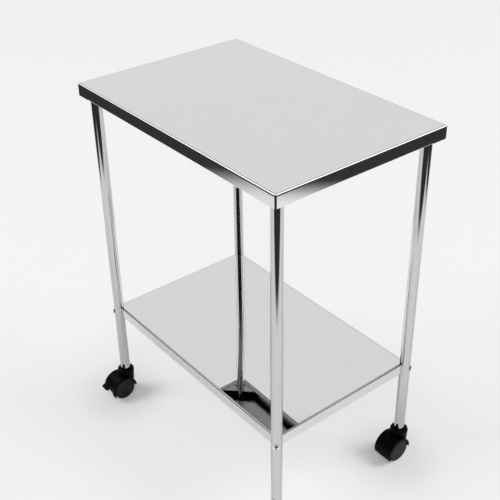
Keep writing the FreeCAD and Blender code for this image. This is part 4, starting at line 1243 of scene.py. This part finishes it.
def studio_world(settings):
    """An even pale surround; polished steel sees a room with walls, softboxes and a dark opening for the camera."""
    world = bpy.data.worlds.new("studio")
    bpy.context.scene.world = world
    world.use_nodes = True
    tree = world.node_tree
    tree.nodes.clear()
    along = towards_camera(tree, node(tree, "ShaderNodeTexCoord").outputs["Generated"])
    away = maths(tree, "ABSOLUTE", maths(tree, "ARCTAN2", along["Y"], along["X"]))
    level = ROOM
    for start, end, bottom, top, strength in SURROUNDINGS:
        turn_mask = band(tree, away, math.radians(start), math.radians(end), SOFT_TURN)
        lift_mask = band(tree, along["Z"], bottom, top, SOFT_LIFT)
        level = between(tree, maths(tree, "MULTIPLY", turn_mask, lift_mask), level, strength, "FLOAT")

    def background(tone, strength):
        return node(tree, "ShaderNodeBackground", {"Color": tone, "Strength": strength}).outputs["Background"]
    white = (1, 1, 1)
    path = node(tree, "ShaderNodeLightPath").outputs
    lit = shader_between(tree, path["Is Glossy Ray"], background(white, settings.fill), background(white, level))
    seen = shader_between(tree, path["Is Camera Ray"], lit, background(settings.paper, 1.0))
    node(tree, "ShaderNodeOutputWorld", {"Surface": seen})


def softbox(name, azimuth, distance, height, size, power):
    """A round softbox that faces the foot of the table. Steel sees the painted room instead of it."""
    place = Vector((distance * math.cos(azimuth), distance * math.sin(azimuth), height))
    bpy.ops.object.light_add(type="AREA", location=place)
    lamp = bpy.context.object
    lamp.name = name
    lamp.rotation_euler = place.to_track_quat("Z", "Y").to_euler()
    lamp.data.shape = "DISK"
    lamp.data.size = size
    lamp.data.energy = power
    lamp.visible_glossy = False


class TABLE_OT_studio(bpy.types.Operator):
    """Lay the pale floor, hang the softboxes and set the camera"""
    bl_idname = "table.studio"
    bl_label = "Studio"

    def execute(self, context):
        settings = context.scene.table_studio
        bpy.ops.mesh.primitive_plane_add(size=FLOOR_SIZE, location=(0, 0, 0))
        floor = dress(named("floor"), paper_floor(settings))
        studio_world(settings)
        softbox("left_softbox", CAMERA_AZIMUTH - SIDE_TURN, *SIDE_BOX, settings.side)
        softbox("right_softbox", CAMERA_AZIMUTH + SIDE_TURN, *SIDE_BOX, settings.side)
        softbox("front_softbox", CAMERA_AZIMUTH, *FRONT_BOX, settings.front)
        bpy.ops.object.camera_add(location=CAMERA_PLACE, rotation=CAMERA_TURN)
        camera = bpy.context.object
        camera.name = "camera"
        camera.data.lens = CAMERA_LENS
        context.scene.camera = camera
        context.scene.view_settings.view_transform = "Standard"
        return {"FINISHED"}


class TABLE_PT_panel(bpy.types.Panel):
    """Sizes, colours and pieces of the auxiliary table"""
    bl_idname = "TABLE_PT_panel"
    bl_label = "Auxiliary table"
    bl_space_type = "VIEW_3D"
    bl_region_type = "UI"
    bl_category = "Auxiliary table"

    def draw(self, context):
        scene = context.scene
        for group_name in GROUPS:
            group = getattr(scene, group_name)
            column = self.layout.box().column()
            for name in group.bl_rna.properties.keys():
                if name not in ("rna_type", "name"):
                    column.prop(group, name)
        for operator in OPERATORS:
            self.layout.operator(operator.bl_idname)


GROUPS = {"table_trays": TraySizes, "table_legs": LegSizes, "table_casters": CasterSizes, "table_brakes": BrakeSizes,
          "table_finishes": Finishes, "table_studio": StudioSettings}
OPERATORS = (TABLE_OT_trays, TABLE_OT_legs, TABLE_OT_bolts, TABLE_OT_frame_fittings, TABLE_OT_hoods,
             TABLE_OT_pedals, TABLE_OT_wheels, TABLE_OT_studio)


def register():
    """Add the settings, the operators and the panel to Blender."""
    for item in (*GROUPS.values(), *OPERATORS, TABLE_PT_panel):
        bpy.utils.register_class(item)
    for name, group in GROUPS.items():
        setattr(bpy.types.Scene, name, PointerProperty(type=group))


def unregister():
    """Take them out again."""
    for name in GROUPS:
        delattr(bpy.types.Scene, name)
    for item in (TABLE_PT_panel, *reversed(OPERATORS), *reversed(GROUPS.values())):
        bpy.utils.unregister_class(item)


def main():
    """Build the table and its studio."""
    register()
    bpy.ops.table.trays()
    bpy.ops.table.legs()
    bpy.ops.table.bolts()
    bpy.ops.table.frame_fittings()
    bpy.ops.table.hoods()
    bpy.ops.table.pedals()
    bpy.ops.table.wheels()
    bpy.ops.table.studio()
    deselect()


if __name__ == "__main__":
    main()
